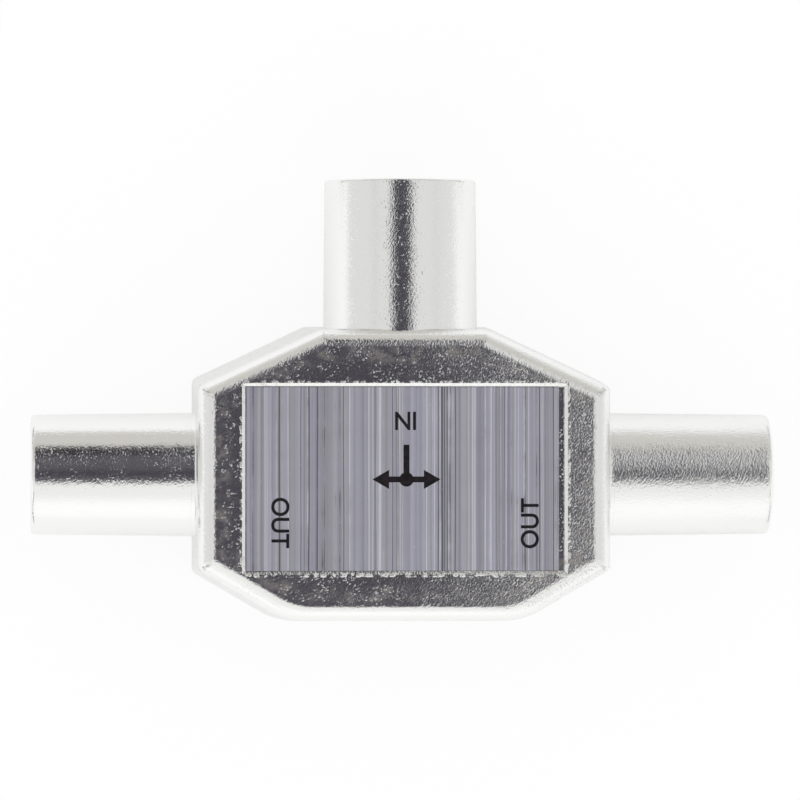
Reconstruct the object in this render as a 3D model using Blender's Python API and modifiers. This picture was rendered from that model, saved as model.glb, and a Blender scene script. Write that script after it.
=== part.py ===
"""Two-way coaxial television splitter: a T-shaped zinc casting with one socket and two plugs.

The part lies on its back cover with the label face up. +Z leaves the label face, +Y is the way
the socket points, and +X runs along the two plugs. The origin is on the outer face of the back
cover, straight below the point where the connector axes cross. Lengths are in metres.
"""

import math

import bmesh
import bpy
from mathutils import Matrix, Vector

MM = 0.001

# Housing block, measured at its open back
BODY_DEPTH = 14.0 * MM
BODY_HALF_WIDTH = 16.25 * MM
BODY_HALF_HEIGHT = 11.75 * MM
TOP_FLAT_HALF = 7.3 * MM
TOP_CHAMFER_DROP = 4.2 * MM
BOTTOM_FLAT_HALF = 9.5 * MM
BOTTOM_CHAMFER_RISE = 3.95 * MM
AXIS_HEIGHT = 7.0 * MM

# Draft of the casting: how far each wall leans in by the time it reaches the front
SIDE_DRAFT = 0.15 * MM
END_DRAFT = 0.4 * MM
TOP_CHAMFER_LEAN = 0.8 * MM
BOTTOM_CHAMFER_LEAN = 0.3 * MM

# Rounding of the front rim, tighter over the bottom wall, and setbacks of the upright corners
RIM_RADIUS = 1.5 * MM
BOTTOM_RIM_RADIUS = 1.2 * MM
TOP_CORNER_SETBACK = 0.15 * MM
SIDE_CORNER_SETBACK = 0.35 * MM
BOTTOM_CORNER_SETBACK = 0.8 * MM

CORNER_RADIUS = 0.8 * MM
WALL = 1.7 * MM
FRONT_WALL = 1.6 * MM
CAVITY_FILLET = 0.6 * MM

# Label pocket in the front face, and the thin plate glued in it
POCKET_WIDTH = 25.4 * MM
POCKET_HEIGHT = 14.9 * MM
POCKET_DEPTH = 0.25 * MM
POCKET_WALL_LEAN = 0.27 * MM
POCKET_CORNER = 0.12 * MM
POCKET_DROP = 0.3 * MM
LABEL_THICKNESS = 0.12 * MM
LABEL_SIDE_PLAY = 0.23 * MM
LABEL_END_PLAY = 0.03 * MM
LABEL_CORNER = 0.06 * MM
GLUE_LINE = 0.03 * MM

# Back cover, a sheet pressed flush into a ledge
COVER_THICKNESS = 0.8 * MM
COVER_LEDGE = 0.8 * MM
COVER_FIT = 0.07 * MM
COVER_EDGE_ROUND = 0.15 * MM

# Socket on the +Y side
SOCKET_LENGTH = 11.6 * MM
SOCKET_ROOT_RADIUS = 6.06 * MM
SOCKET_TIP_RADIUS = 5.96 * MM
SOCKET_BORE_RADIUS = 4.85 * MM
SOCKET_LIP = 0.2 * MM
SOCKET_MOUTH_CHAMFER = 0.35 * MM
SOCKET_ROOT_FLARE = 0.22 * MM
SOCKET_FLARE_DEPTH = 0.55 * MM

# Plug on the -X side and its twin on the +X side
PLUG_LENGTH = 12.925 * MM
PLUG_ROOT_RADIUS = 4.84 * MM
PLUG_TIP_RADIUS = 4.7 * MM
PLUG_BORE_RADIUS = 4.0 * MM
PLUG_LIP = 0.38 * MM
PLUG_MOUTH_CHAMFER = 0.12 * MM
PLUG_ROOT_FILLET = 0.15 * MM

# Insulators, pressed to the bottom of each bore with a spigot through the housing wall
SEAT_INSET = 0.5 * MM
BORE_DRAFT = 0.04 * MM
SPIGOT_RADIUS = 2.3 * MM
SPIGOT_PROUD = 0.3 * MM
DISC_THICKNESS = 2.2 * MM
HUB_HEIGHT = 0.6 * MM
PLUG_HUB_RADIUS = 2.1 * MM
SOCKET_HUB_RADIUS = 2.7 * MM
PRESS_FIT = 0.05 * MM

# Centre contacts
TAIL_RADIUS = 0.6 * MM
TAIL_REACH = 3.4 * MM
PIN_RADIUS = 1.18 * MM
PIN_NOSE = 0.8 * MM
PIN_RECESS = 0.4 * MM
TUBE_RADIUS = 1.9 * MM
TUBE_BORE_RADIUS = 1.22 * MM
TUBE_BORE_DEPTH = 7.2 * MM
TUBE_EDGE = 0.2 * MM
TUBE_RECESS = 0.9 * MM
SLOT_WIDTH = 0.4 * MM
SLOT_DEPTH = 6.0 * MM

# Circuit board, held on four posts that are cast in the front wall
BOARD_THICKNESS = 1.0 * MM
BOARD_CLEARANCE = 0.3 * MM
BOARD_SEAT_GAP = 0.05 * MM
TAIL_TO_BOARD = 0.1 * MM
POST_RADIUS = 1.3 * MM
POST_FROM_SIDE = 6.75 * MM
TOP_POST_FROM_SIDE = 7.65 * MM
POST_FROM_TOP = 6.55 * MM
POST_FROM_BOTTOM = 6.25 * MM
PEG_RADIUS = 0.7 * MM
PEG_PROUD = 0.9 * MM
PEG_HOLE_FIT = 0.1 * MM

# Solder
SOLDER_HALF_WIDTH = 1.3 * MM
SOLDER_HALF_LENGTH = 1.1 * MM
SOLDER_DEPTH = 1.5 * MM
SOLDER_FIT = 0.04 * MM
GROUND_SOLDER_RADIUS = 1.5 * MM
GROUND_SOLDER_HEIGHT = 0.7 * MM

# Two-hole ferrite cores and their enamelled windings
CORE_WIDTH = 5.2 * MM
CORE_HEIGHT = 3.2 * MM
CORE_LENGTH = 4.2 * MM
CORE_SIDE_ROUND = 1.1 * MM
CORE_HOLE_RADIUS = 0.85 * MM
CORE_HOLE_SPREAD = 1.3 * MM
CORE_OFFSET = 4.6 * MM
CORE_DROP = 1.0 * MM
CORE_GLUE = 0.05 * MM
WIRE_RADIUS = 0.13 * MM
WIRE_PITCH = 0.4 * MM
WIRE_STRAIGHT = 0.2 * MM
WIRE_TAIL = 0.6 * MM
WIRE_SIDE_GAP = 0.1 * MM
WINDING_PASSES = 3

# Chip parts on the board
CHIP_GAP = 0.05 * MM
CHIP_CAP_STEP = 0.06 * MM
CHIP_CAP_SHARE = 0.24
CAPACITOR_LENGTH = 2.0 * MM
CAPACITOR_WIDTH = 1.25 * MM
CAPACITOR_HEIGHT = 0.9 * MM
CAPACITOR_TO_TAIL = 0.7 * MM
RESISTOR_LENGTH = 3.2 * MM
RESISTOR_WIDTH = 1.6 * MM
RESISTOR_HEIGHT = 0.6 * MM
RESISTOR_FROM_BOTTOM = 5.05 * MM

# Facets
ROUND_STEPS = 48
PIN_STEPS = 24
SMALL_STEPS = 16
RIM_SEGMENTS = 4
ARC_STEPS = 3
MERGE = 0.001 * MM
OVERCUT = 1.0 * MM

BOARD_BACK = AXIS_HEIGHT + TAIL_RADIUS + TAIL_TO_BOARD
BOARD_FRONT = BOARD_BACK + BOARD_THICKNESS
CAVITY_TOP = BODY_DEPTH - FRONT_WALL
SEAT_DEPTH = COVER_THICKNESS + COVER_FIT
INSULATOR_BACK = -SEAT_INSET + PRESS_FIT
INSULATOR_FRONT = INSULATOR_BACK + DISC_THICKNESS
HUB_FRONT = INSULATOR_FRONT + HUB_HEIGHT
CONTACT_SHOULDER = HUB_FRONT + PRESS_FIT
BORE_BOTTOM_FIT = BORE_DRAFT + PRESS_FIT
TAIL_END = -WALL - TAIL_REACH


def clear_scene():
    """Removes what the file starts with."""
    for item in list(bpy.data.objects):
        bpy.data.objects.remove(item, do_unlink=True)


def make_collection(name):
    """A collection linked to the scene."""
    collection = bpy.data.collections.new(name)
    bpy.context.scene.collection.children.link(collection)
    return collection


clear_scene()
PARTS = make_collection("coaxial_splitter")
CUTTERS = make_collection("cutters")


def make_material(name, colour, roughness, metallic):
    """A Principled BSDF of one colour."""
    material = bpy.data.materials.new(name)
    material.use_nodes = True
    shader = material.node_tree.nodes["Principled BSDF"]
    shader.inputs["Base Color"].default_value = (*colour, 1.0)
    shader.inputs["Roughness"].default_value = roughness
    shader.inputs["Metallic"].default_value = metallic
    return material


NICKEL_CASTING = make_material("nickel_plated_casting", (0.66, 0.65, 0.63), 0.28, 1.0)
NICKEL_SHEET = make_material("nickel_plated_sheet", (0.68, 0.67, 0.65), 0.22, 1.0)
BRUSHED_PLATE = make_material("brushed_label_plate", (0.34, 0.34, 0.40), 0.42, 0.8)
CONTACT_METAL = make_material("plated_contact", (0.72, 0.70, 0.66), 0.2, 1.0)
WHITE_PLASTIC = make_material("white_insulator", (0.82, 0.82, 0.80), 0.5, 0.0)
BOARD_LAMINATE = make_material("board_laminate", (0.42, 0.29, 0.12), 0.6, 0.0)
FERRITE = make_material("ferrite", (0.07, 0.07, 0.075), 0.55, 0.0)
COPPER_WIRE = make_material("enamelled_wire", (0.55, 0.22, 0.08), 0.3, 0.6)
CAPACITOR_BODY = make_material("capacitor_ceramic", (0.45, 0.33, 0.2), 0.5, 0.0)
RESISTOR_BODY = make_material("resistor_black", (0.03, 0.03, 0.035), 0.45, 0.0)
SOLDER = make_material("solder", (0.6, 0.6, 0.6), 0.3, 1.0)


def add_object(name, data, material=None):
    """An object in the parts collection, or a hidden cutter where it has no material."""
    item = bpy.data.objects.new(name, data)
    if material is None:
        CUTTERS.objects.link(item)
        item.hide_render = True
        item.display_type = "WIRE"
    else:
        PARTS.objects.link(item)
        data.materials.append(material)
    return item


def place(item, location=(0.0, 0.0, 0.0), parent=None):
    """Puts an object at a place in its parent's frame."""
    item.location = location
    item.parent = parent
    return item


def combine(item, other, operation):
    """Joins another solid to this one, or cuts it away."""
    modifier = item.modifiers.new(other.name, "BOOLEAN")
    modifier.operation = operation
    modifier.object = other
    modifier.solver = "EXACT"


def round_edges(item, width, segments, angle):
    """Rounds every edge sharper than an angle given in degrees."""
    modifier = item.modifiers.new("round_edges", "BEVEL")
    modifier.limit_method = "ANGLE"
    modifier.angle_limit = math.radians(angle)
    modifier.width = width
    modifier.segments = segments


def shade(item, angle=32.0):
    """Smooth shading that keeps the sharp edges."""
    item.data.shade_smooth()
    item.data.set_sharp_from_angle(angle=math.radians(angle))


def arc(centre, radius, start, end, steps=ARC_STEPS):
    """Points on an arc, with its angles in degrees."""
    angles = [math.radians(start + (end - start) * i / steps) for i in range(steps + 1)]
    return [(centre[0] + radius * math.cos(a), centre[1] + radius * math.sin(a)) for a in angles]


def mix(start, end, share):
    """The value at a share of the way from one value to another."""
    return start + (end - start) * share


def shrink(outline, distance):
    """A convex outline, counter-clockwise, with every side moved inwards by one distance."""
    moved = []
    for index, corner in enumerate(outline):
        before = corner - outline[index - 1]
        after = outline[(index + 1) % len(outline)] - corner
        normal_before = Vector((-before.y, before.x)).normalized()
        normal_after = Vector((-after.y, after.x)).normalized()
        spread = 1.0 + normal_before.dot(normal_after)
        moved.append(corner + (normal_before + normal_after) * distance / spread)
    return moved


def body_outline(height, inset=0.0):
    """The eight corners of the housing's section at a height above the open back."""
    share = height / BODY_DEPTH
    side = BODY_HALF_WIDTH - SIDE_DRAFT * share
    end = BODY_HALF_HEIGHT - END_DRAFT * share
    top_slope = TOP_CHAMFER_DROP / (BODY_HALF_WIDTH - TOP_FLAT_HALF)
    top_flat = TOP_FLAT_HALF - TOP_CHAMFER_LEAN * share
    top_corner = end - TOP_CHAMFER_DROP - TOP_CHAMFER_LEAN * share * top_slope
    bottom_flat = BOTTOM_FLAT_HALF - BOTTOM_CHAMFER_LEAN * share
    bottom_corner = -end + BOTTOM_CHAMFER_RISE
    right = [
        Vector((bottom_flat, -end)),
        Vector((side, bottom_corner)),
        Vector((side, top_corner)),
        Vector((top_flat, end)),
    ]
    left = [Vector((-corner.x, corner.y)) for corner in reversed(right)]
    return shrink(right + left, inset)


def rectangle(width, height, centre=(0.0, 0.0)):
    """The corners of a rectangle, counter-clockwise."""
    signs = ((-1, -1), (1, -1), (1, 1), (-1, 1))
    return [Vector((centre[0] + sx * width / 2, centre[1] + sy * height / 2)) for sx, sy in signs]


def tapered_prism(name, bottom, low, top, high, corner_radius, rounded=None):
    """A mesh raised from one outline to another with as many corners.

    Both outlines run counter-clockwise, so that the faces point out. The upright edges that pass
    the test are rounded, or all of them where there is none.
    """
    model = bmesh.new()
    corners = [model.verts.new((point.x, point.y, low)) for point in bottom]
    goals = {tuple(corner.co): point for corner, point in zip(corners, top)}
    floor = model.faces.new(corners)
    raised = bmesh.ops.extrude_face_region(model, geom=[floor])["geom"]
    for vertex in raised:
        if isinstance(vertex, bmesh.types.BMVert):
            goal = goals[tuple(vertex.co)]
            vertex.co = (goal.x, goal.y, high)
    model.normal_update()
    upright = [edge for edge in model.edges if abs(edge.verts[0].co.z - edge.verts[1].co.z) > MERGE]
    if rounded:
        upright = [edge for edge in upright if rounded(edge)]
    if corner_radius:
        bmesh.ops.bevel(
            model,
            geom=upright,
            offset=corner_radius,
            segments=ARC_STEPS,
            profile=0.5,
            affect="EDGES",
        )
    mesh = bpy.data.meshes.new(name)
    model.to_mesh(mesh)
    model.free()
    return mesh


def turned(name, profile, material=None, closed=False, steps=ROUND_STEPS):
    """A profile of (radius, height) points, turned about Z with a Screw modifier."""
    last = len(profile) - 1
    edges = [(i, i + 1) for i in range(last)]
    if closed:
        edges.append((last, 0))
    mesh = bpy.data.meshes.new(name)
    mesh.from_pydata([(radius, 0.0, height) for radius, height in profile], edges, [])
    item = add_object(name, mesh, material)
    modifier = item.modifiers.new("turn", "SCREW")
    modifier.steps = steps
    modifier.render_steps = steps
    modifier.use_merge_vertices = True
    modifier.merge_threshold = MERGE
    return item


def box(name, size, centre, material=None):
    """A block from the cube primitive, with its size in its mesh."""
    model = bmesh.new()
    bmesh.ops.create_cube(model, size=1.0)
    scale = Matrix.Diagonal((*size, 1.0))
    bmesh.ops.transform(model, matrix=Matrix.Translation(centre) @ scale, verts=model.verts)
    mesh = bpy.data.meshes.new(name)
    model.to_mesh(mesh)
    model.free()
    return add_object(name, mesh, material)


def rod(name, radius, low, high, steps=SMALL_STEPS):
    """A round cutter about Z between two heights."""
    return turned(name, [(0.0, high), (radius, high), (radius, low), (0.0, low)], steps=steps)


def make_port(name, distance, heading):
    """An empty on a connector's axis at the housing wall: +Z points out and +Y at the label side."""
    port = bpy.data.objects.new(name, None)
    PARTS.objects.link(port)
    angle = math.radians(heading)
    port.location = (distance * math.cos(angle), distance * math.sin(angle), AXIS_HEIGHT)
    port.rotation_euler = (math.pi / 2, 0.0, math.pi / 2 + angle)
    return port


def wall_at_axis(half_size, draft):
    """How far out the wall's outer face is at the height of the axis."""
    return half_size - draft * AXIS_HEIGHT / BODY_DEPTH


def sleeve_solid(name, length, root, tip, lip, fillet, fillet_foot):
    """The outside of a connector sleeve, its root flared out to a foot at or in the wall."""
    profile = [(0.0, length)]
    profile += arc((tip - lip, length - lip), lip, 90, 0)
    profile += arc((root + fillet, fillet_foot + fillet), fillet, 180, 270)
    profile += [(root + fillet, -WALL), (0.0, -WALL)]
    return turned(name, profile)


def bore_solid(name, length, radius, chamfer):
    """The space inside a sleeve, with its mouth chamfer, its seat and the hole through the wall."""
    bottom = radius - BORE_DRAFT
    profile = [
        (0.0, length + OVERCUT),
        (radius + chamfer + OVERCUT, length + OVERCUT),
        (radius, length - chamfer),
        (bottom, -SEAT_INSET),
        (SPIGOT_RADIUS, -SEAT_INSET),
        (SPIGOT_RADIUS, -WALL - OVERCUT),
        (0.0, -WALL - OVERCUT),
    ]
    return turned(name, profile)


def insulator(name, bore_radius, hub_radius, port):
    """A moulded insulator: disc, hub and spigot around the hole for the contact's tail."""
    hole = TAIL_RADIUS + PRESS_FIT
    disc = bore_radius - BORE_BOTTOM_FIT
    spigot = SPIGOT_RADIUS - PRESS_FIT
    spigot_end = -WALL - SPIGOT_PROUD
    profile = [
        (hole, HUB_FRONT),
        (hub_radius, HUB_FRONT),
        (hub_radius, INSULATOR_FRONT),
        (disc, INSULATOR_FRONT),
        (disc, INSULATOR_BACK),
        (spigot, INSULATOR_BACK),
        (spigot, spigot_end),
        (hole, spigot_end),
    ]
    item = turned(name, profile, WHITE_PLASTIC, closed=True)
    shade(item)
    return place(item, parent=port)


def pin(name, port):
    """A plug's centre pin with its rounded nose, its shoulder and its tail."""
    tip = PLUG_LENGTH - PIN_RECESS
    profile = [(0.0, tip)]
    profile += arc((PIN_RADIUS - PIN_NOSE, tip - PIN_NOSE), PIN_NOSE, 90, 0, 5)
    profile += [
        (PIN_RADIUS, CONTACT_SHOULDER),
        (TAIL_RADIUS, CONTACT_SHOULDER),
        (TAIL_RADIUS, TAIL_END),
        (0.0, TAIL_END),
    ]
    item = turned(name, profile, CONTACT_METAL, steps=PIN_STEPS)
    shade(item)
    return place(item, parent=port)


def slotted_contact(name, port):
    """The socket's centre contact: a tube slit into four fingers, on a solid tail."""
    top = SOCKET_LENGTH - TUBE_RECESS
    profile = [
        (0.0, top - TUBE_BORE_DEPTH),
        (TUBE_BORE_RADIUS, top - TUBE_BORE_DEPTH),
        (TUBE_BORE_RADIUS, top - TUBE_EDGE),
        (TUBE_BORE_RADIUS + TUBE_EDGE, top),
        (TUBE_RADIUS - TUBE_EDGE, top),
        (TUBE_RADIUS, top - TUBE_EDGE),
        (TUBE_RADIUS, CONTACT_SHOULDER),
        (TAIL_RADIUS, CONTACT_SHOULDER),
        (TAIL_RADIUS, TAIL_END),
        (0.0, TAIL_END),
    ]
    item = turned(name, profile, CONTACT_METAL, steps=PIN_STEPS)
    across = 2 * (TUBE_RADIUS + OVERCUT)
    depth = SLOT_DEPTH + OVERCUT
    centre = (0.0, 0.0, top + OVERCUT - depth / 2)
    for label, size in (("a", (SLOT_WIDTH, across, depth)), ("b", (across, SLOT_WIDTH, depth))):
        slot = box(f"contact_slot_{label}", size, centre)
        place(slot, parent=port)
        combine(item, slot, "DIFFERENCE")
    shade(item)
    return place(item, parent=port)


def tail_solder(name, port):
    """A saddle of solder that holds a contact's tail on the board."""
    middle = -WALL - (SPIGOT_PROUD + TAIL_REACH) / 2
    board_plane = TAIL_RADIUS + TAIL_TO_BOARD - SOLDER_FIT
    model = bmesh.new()
    bmesh.ops.create_uvsphere(model, u_segments=SMALL_STEPS, v_segments=10, radius=1.0)
    size = Matrix.Diagonal((SOLDER_HALF_WIDTH, SOLDER_DEPTH, SOLDER_HALF_LENGTH, 1.0))
    move = Matrix.Translation((0.0, board_plane, middle))
    bmesh.ops.transform(model, matrix=move @ size, verts=model.verts)
    mesh = bpy.data.meshes.new(name)
    model.to_mesh(mesh)
    model.free()
    item = add_object(name, mesh, SOLDER)
    place(item, parent=port)

    above = box(
        f"{name}_board_side",
        (4 * SOLDER_HALF_WIDTH, 2 * SOLDER_DEPTH, 4 * SOLDER_HALF_LENGTH),
        (0.0, board_plane + SOLDER_DEPTH, middle),
    )
    place(above, parent=port)
    combine(item, above, "DIFFERENCE")

    groove = TAIL_RADIUS + SOLDER_FIT
    profile = [Vector(point) for point in arc((0.0, 0.0), groove, 180, 360, 8)]
    profile += [Vector((groove, SOLDER_DEPTH)), Vector((-groove, SOLDER_DEPTH))]
    low = middle - 2 * SOLDER_HALF_LENGTH
    high = middle + 2 * SOLDER_HALF_LENGTH
    channel = add_object(
        f"{name}_channel", tapered_prism(f"{name}_channel", profile, low, profile, high, 0.0)
    )
    place(channel, parent=port)
    combine(item, channel, "DIFFERENCE")
    shade(item)
    return item


def make_ports():
    """The three connector axes."""
    end = wall_at_axis(BODY_HALF_HEIGHT, END_DRAFT)
    side = wall_at_axis(BODY_HALF_WIDTH, SIDE_DRAFT)
    return {
        "in": make_port("in_port", end, 90),
        "out_left": make_port("out_left_port", side, 180),
        "out_right": make_port("out_right_port", side, 0),
    }


def post_places():
    """The centres of the four board posts, and whether a post carries a soldered peg."""
    up = BODY_HALF_HEIGHT - POST_FROM_TOP
    down = BODY_HALF_HEIGHT - POST_FROM_BOTTOM
    top_side = BODY_HALF_WIDTH - TOP_POST_FROM_SIDE
    side = BODY_HALF_WIDTH - POST_FROM_SIDE
    return [
        (-top_side, up, False),
        (top_side, up, False),
        (-side, -down, True),
        (side, -down, True),
    ]


def is_bottom_corner(point):
    """Whether a point lies by one of the two corners at the bottom side's ends."""
    return point.y < BOTTOM_CHAMFER_RISE / 2 - BODY_HALF_HEIGHT


def rim_radius(start, end):
    """The rim's radius along an edge of the front outline, tighter the flatter a low edge runs."""
    if start.y > 0.0:
        return RIM_RADIUS
    slope = abs((end - start).normalized().y)
    run = BODY_HALF_WIDTH - BOTTOM_FLAT_HALF
    chamfer_slope = BOTTOM_CHAMFER_RISE / math.hypot(BOTTOM_CHAMFER_RISE, run)
    share = min(1.0, slope / chamfer_slope)
    return BOTTOM_RIM_RADIUS + (RIM_RADIUS - BOTTOM_RIM_RADIUS) * share


def corner_setback(point):
    """The setback of the rounding of an upright corner, none where it is round already."""
    if is_bottom_corner(point):
        return 0.0
    if abs(point.x) < (TOP_FLAT_HALF + BODY_HALF_WIDTH) / 2:
        return TOP_CORNER_SETBACK
    return SIDE_CORNER_SETBACK


def make_block():
    """The solid block of the housing, its rim and its corners rounded by weight."""
    mesh = tapered_prism(
        "housing",
        body_outline(0.0),
        0.0,
        body_outline(BODY_DEPTH),
        BODY_DEPTH,
        BOTTOM_CORNER_SETBACK,
        lambda edge: is_bottom_corner(edge.verts[0].co),
    )
    widest = max(RIM_RADIUS, BOTTOM_RIM_RADIUS)
    weights = mesh.attributes.new("bevel_weight_edge", "FLOAT", "EDGE")
    for edge in mesh.edges:
        start, end = (mesh.vertices[index].co for index in edge.vertices)
        if min(start.z, end.z) > BODY_DEPTH / 2:
            weights.data[edge.index].value = rim_radius(start, end) / widest
        elif max(start.z, end.z) > BODY_DEPTH / 2:
            weights.data[edge.index].value = min(1.0, corner_setback(start) / widest)
    housing = add_object("housing", mesh, NICKEL_CASTING)
    bevel = housing.modifiers.new("rim_and_corners", "BEVEL")
    bevel.limit_method = "WEIGHT"
    bevel.width = widest
    bevel.segments = RIM_SEGMENTS
    bevel.use_clamp_overlap = False
    return housing


def make_housing(ports):
    """The one-piece casting: block, sleeves, cavity, cover ledge, label pocket and board posts."""
    housing = make_block()
    sleeve = sleeve_solid(
        "in_sleeve",
        SOCKET_LENGTH,
        SOCKET_ROOT_RADIUS,
        SOCKET_TIP_RADIUS,
        SOCKET_LIP,
        SOCKET_ROOT_FLARE,
        -SOCKET_FLARE_DEPTH,
    )
    combine(housing, place(sleeve, parent=ports["in"]), "UNION")
    for side in ("out_left", "out_right"):
        sleeve = sleeve_solid(
            f"{side}_sleeve",
            PLUG_LENGTH,
            PLUG_ROOT_RADIUS,
            PLUG_TIP_RADIUS,
            PLUG_LIP,
            PLUG_ROOT_FILLET,
            0.0,
        )
        combine(housing, place(sleeve, parent=ports[side]), "UNION")

    cavity_mesh = tapered_prism(
        "cavity",
        body_outline(0.0, WALL),
        -OVERCUT,
        body_outline(CAVITY_TOP, WALL),
        CAVITY_TOP,
        CORNER_RADIUS,
    )
    cavity = add_object("cavity", cavity_mesh)
    round_edges(cavity, CAVITY_FILLET, 2, 60.0)
    combine(housing, cavity, "DIFFERENCE")

    seat_outline = body_outline(0.0, WALL - COVER_LEDGE)
    seat = add_object(
        "cover_seat",
        tapered_prism("cover_seat", seat_outline, -OVERCUT, seat_outline, SEAT_DEPTH, CORNER_RADIUS),
    )
    combine(housing, seat, "DIFFERENCE")

    bore = bore_solid("in_bore", SOCKET_LENGTH, SOCKET_BORE_RADIUS, SOCKET_MOUTH_CHAMFER)
    combine(housing, place(bore, parent=ports["in"]), "DIFFERENCE")
    for side in ("out_left", "out_right"):
        bore = bore_solid(f"{side}_bore", PLUG_LENGTH, PLUG_BORE_RADIUS, PLUG_MOUTH_CHAMFER)
        combine(housing, place(bore, parent=ports[side]), "DIFFERENCE")

    combine(housing, make_pocket(), "DIFFERENCE")
    for index, (x, y, soldered) in enumerate(post_places()):
        shoulder = BOARD_FRONT + BOARD_SEAT_GAP
        top = CAVITY_TOP + FRONT_WALL / 3
        profile = [(0.0, top), (POST_RADIUS, top), (POST_RADIUS, shoulder)]
        if soldered:
            end = BOARD_BACK - PEG_PROUD
            profile += [(PEG_RADIUS, shoulder), (PEG_RADIUS, end), (0.0, end)]
        else:
            profile += [(0.0, shoulder)]
        post = turned(f"board_post_{index + 1}", profile, steps=SMALL_STEPS)
        combine(housing, place(post, (x, y, 0.0)), "UNION")
    shade(housing)
    return housing


def make_pocket():
    """The shallow recess of the label, its walls leaning out."""
    growth = 1.0 + OVERCUT / POCKET_DEPTH
    centre = (0.0, -POCKET_DROP)
    floor_width = POCKET_WIDTH - 2 * POCKET_WALL_LEAN
    floor_height = POCKET_HEIGHT - 2 * POCKET_WALL_LEAN
    lean = 2 * POCKET_WALL_LEAN * growth
    mesh = tapered_prism(
        "label_pocket",
        rectangle(floor_width, floor_height, centre),
        BODY_DEPTH - POCKET_DEPTH,
        rectangle(floor_width + lean, floor_height + lean, centre),
        BODY_DEPTH + OVERCUT,
        POCKET_CORNER,
    )
    return add_object("label_pocket", mesh)


def make_label():
    """The thin brushed plate, pushed to one side of its pocket."""
    width = POCKET_WIDTH - 2 * (POCKET_WALL_LEAN + LABEL_SIDE_PLAY)
    height = POCKET_HEIGHT - 2 * (POCKET_WALL_LEAN + LABEL_END_PLAY)
    outline = rectangle(width, height, (-LABEL_SIDE_PLAY / 2, -POCKET_DROP))
    low = BODY_DEPTH - POCKET_DEPTH + GLUE_LINE
    mesh = tapered_prism("label", outline, low, outline, low + LABEL_THICKNESS, LABEL_CORNER)
    return add_object("label", mesh, BRUSHED_PLATE)


def make_back_cover():
    """The sheet cover, flush with the open back."""
    outline = body_outline(0.0, WALL - COVER_LEDGE + COVER_FIT)
    mesh = tapered_prism("back_cover", outline, 0.0, outline, COVER_THICKNESS, CORNER_RADIUS)
    cover = add_object("back_cover", mesh, NICKEL_SHEET)
    round_edges(cover, COVER_EDGE_ROUND, 2, 60.0)
    shade(cover)
    return cover


def make_board():
    """The board on the posts, drilled for the pegs and clear of the insulators' spigots."""
    outline = body_outline(BOARD_FRONT, WALL + SPIGOT_PROUD + BOARD_CLEARANCE)
    mesh = tapered_prism("circuit_board", outline, BOARD_BACK, outline, BOARD_FRONT, CORNER_RADIUS)
    board = add_object("circuit_board", mesh, BOARD_LAMINATE)
    for x, y, soldered in post_places():
        if soldered:
            low = BOARD_BACK - OVERCUT
            hole = rod("peg_hole", PEG_RADIUS + PEG_HOLE_FIT, low, BOARD_FRONT + OVERCUT)
            combine(board, place(hole, (x, y, 0.0)), "DIFFERENCE")
    return board


def make_ground_solder():
    """A cone of solder around each peg, on the board's back."""
    inner = PEG_RADIUS + PEG_HOLE_FIT
    top = BOARD_BACK - SOLDER_FIT
    low = top - GROUND_SOLDER_HEIGHT
    profile = [
        (inner, top),
        (GROUND_SOLDER_RADIUS, top),
        (mix(inner, GROUND_SOLDER_RADIUS, 0.4), mix(top, low, 0.5)),
        (mix(inner, GROUND_SOLDER_RADIUS, 0.2), low),
        (inner, low),
    ]
    for x, y, soldered in post_places():
        if soldered:
            side = "left" if x < 0 else "right"
            joint = turned(f"ground_solder_{side}", profile, SOLDER, closed=True, steps=SMALL_STEPS)
            shade(joint)
            place(joint, (x, y, 0.0))


def make_core(name, x):
    """A two-hole ferrite core with round sides, glued to the board's back."""
    outline = rectangle(CORE_WIDTH, CORE_HEIGHT)
    half = CORE_LENGTH / 2
    mesh = tapered_prism(name, outline, -half, outline, half, CORE_SIDE_ROUND)
    core = add_object(name, mesh, FERRITE)
    frame = bpy.data.objects.new(f"{name}_frame", None)
    PARTS.objects.link(frame)
    frame.location = (x, -CORE_DROP, BOARD_BACK - CORE_GLUE - CORE_HEIGHT / 2)
    frame.rotation_euler = (math.pi / 2, 0.0, 0.0)
    place(core, parent=frame)
    for side in (-1, 1):
        hole = rod(f"{name}_hole", CORE_HOLE_RADIUS, -half - OVERCUT, half + OVERCUT)
        place(hole, (side * CORE_HOLE_SPREAD, 0.0, 0.0), frame)
        combine(core, hole, "DIFFERENCE")
    shade(core)
    return frame


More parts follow.
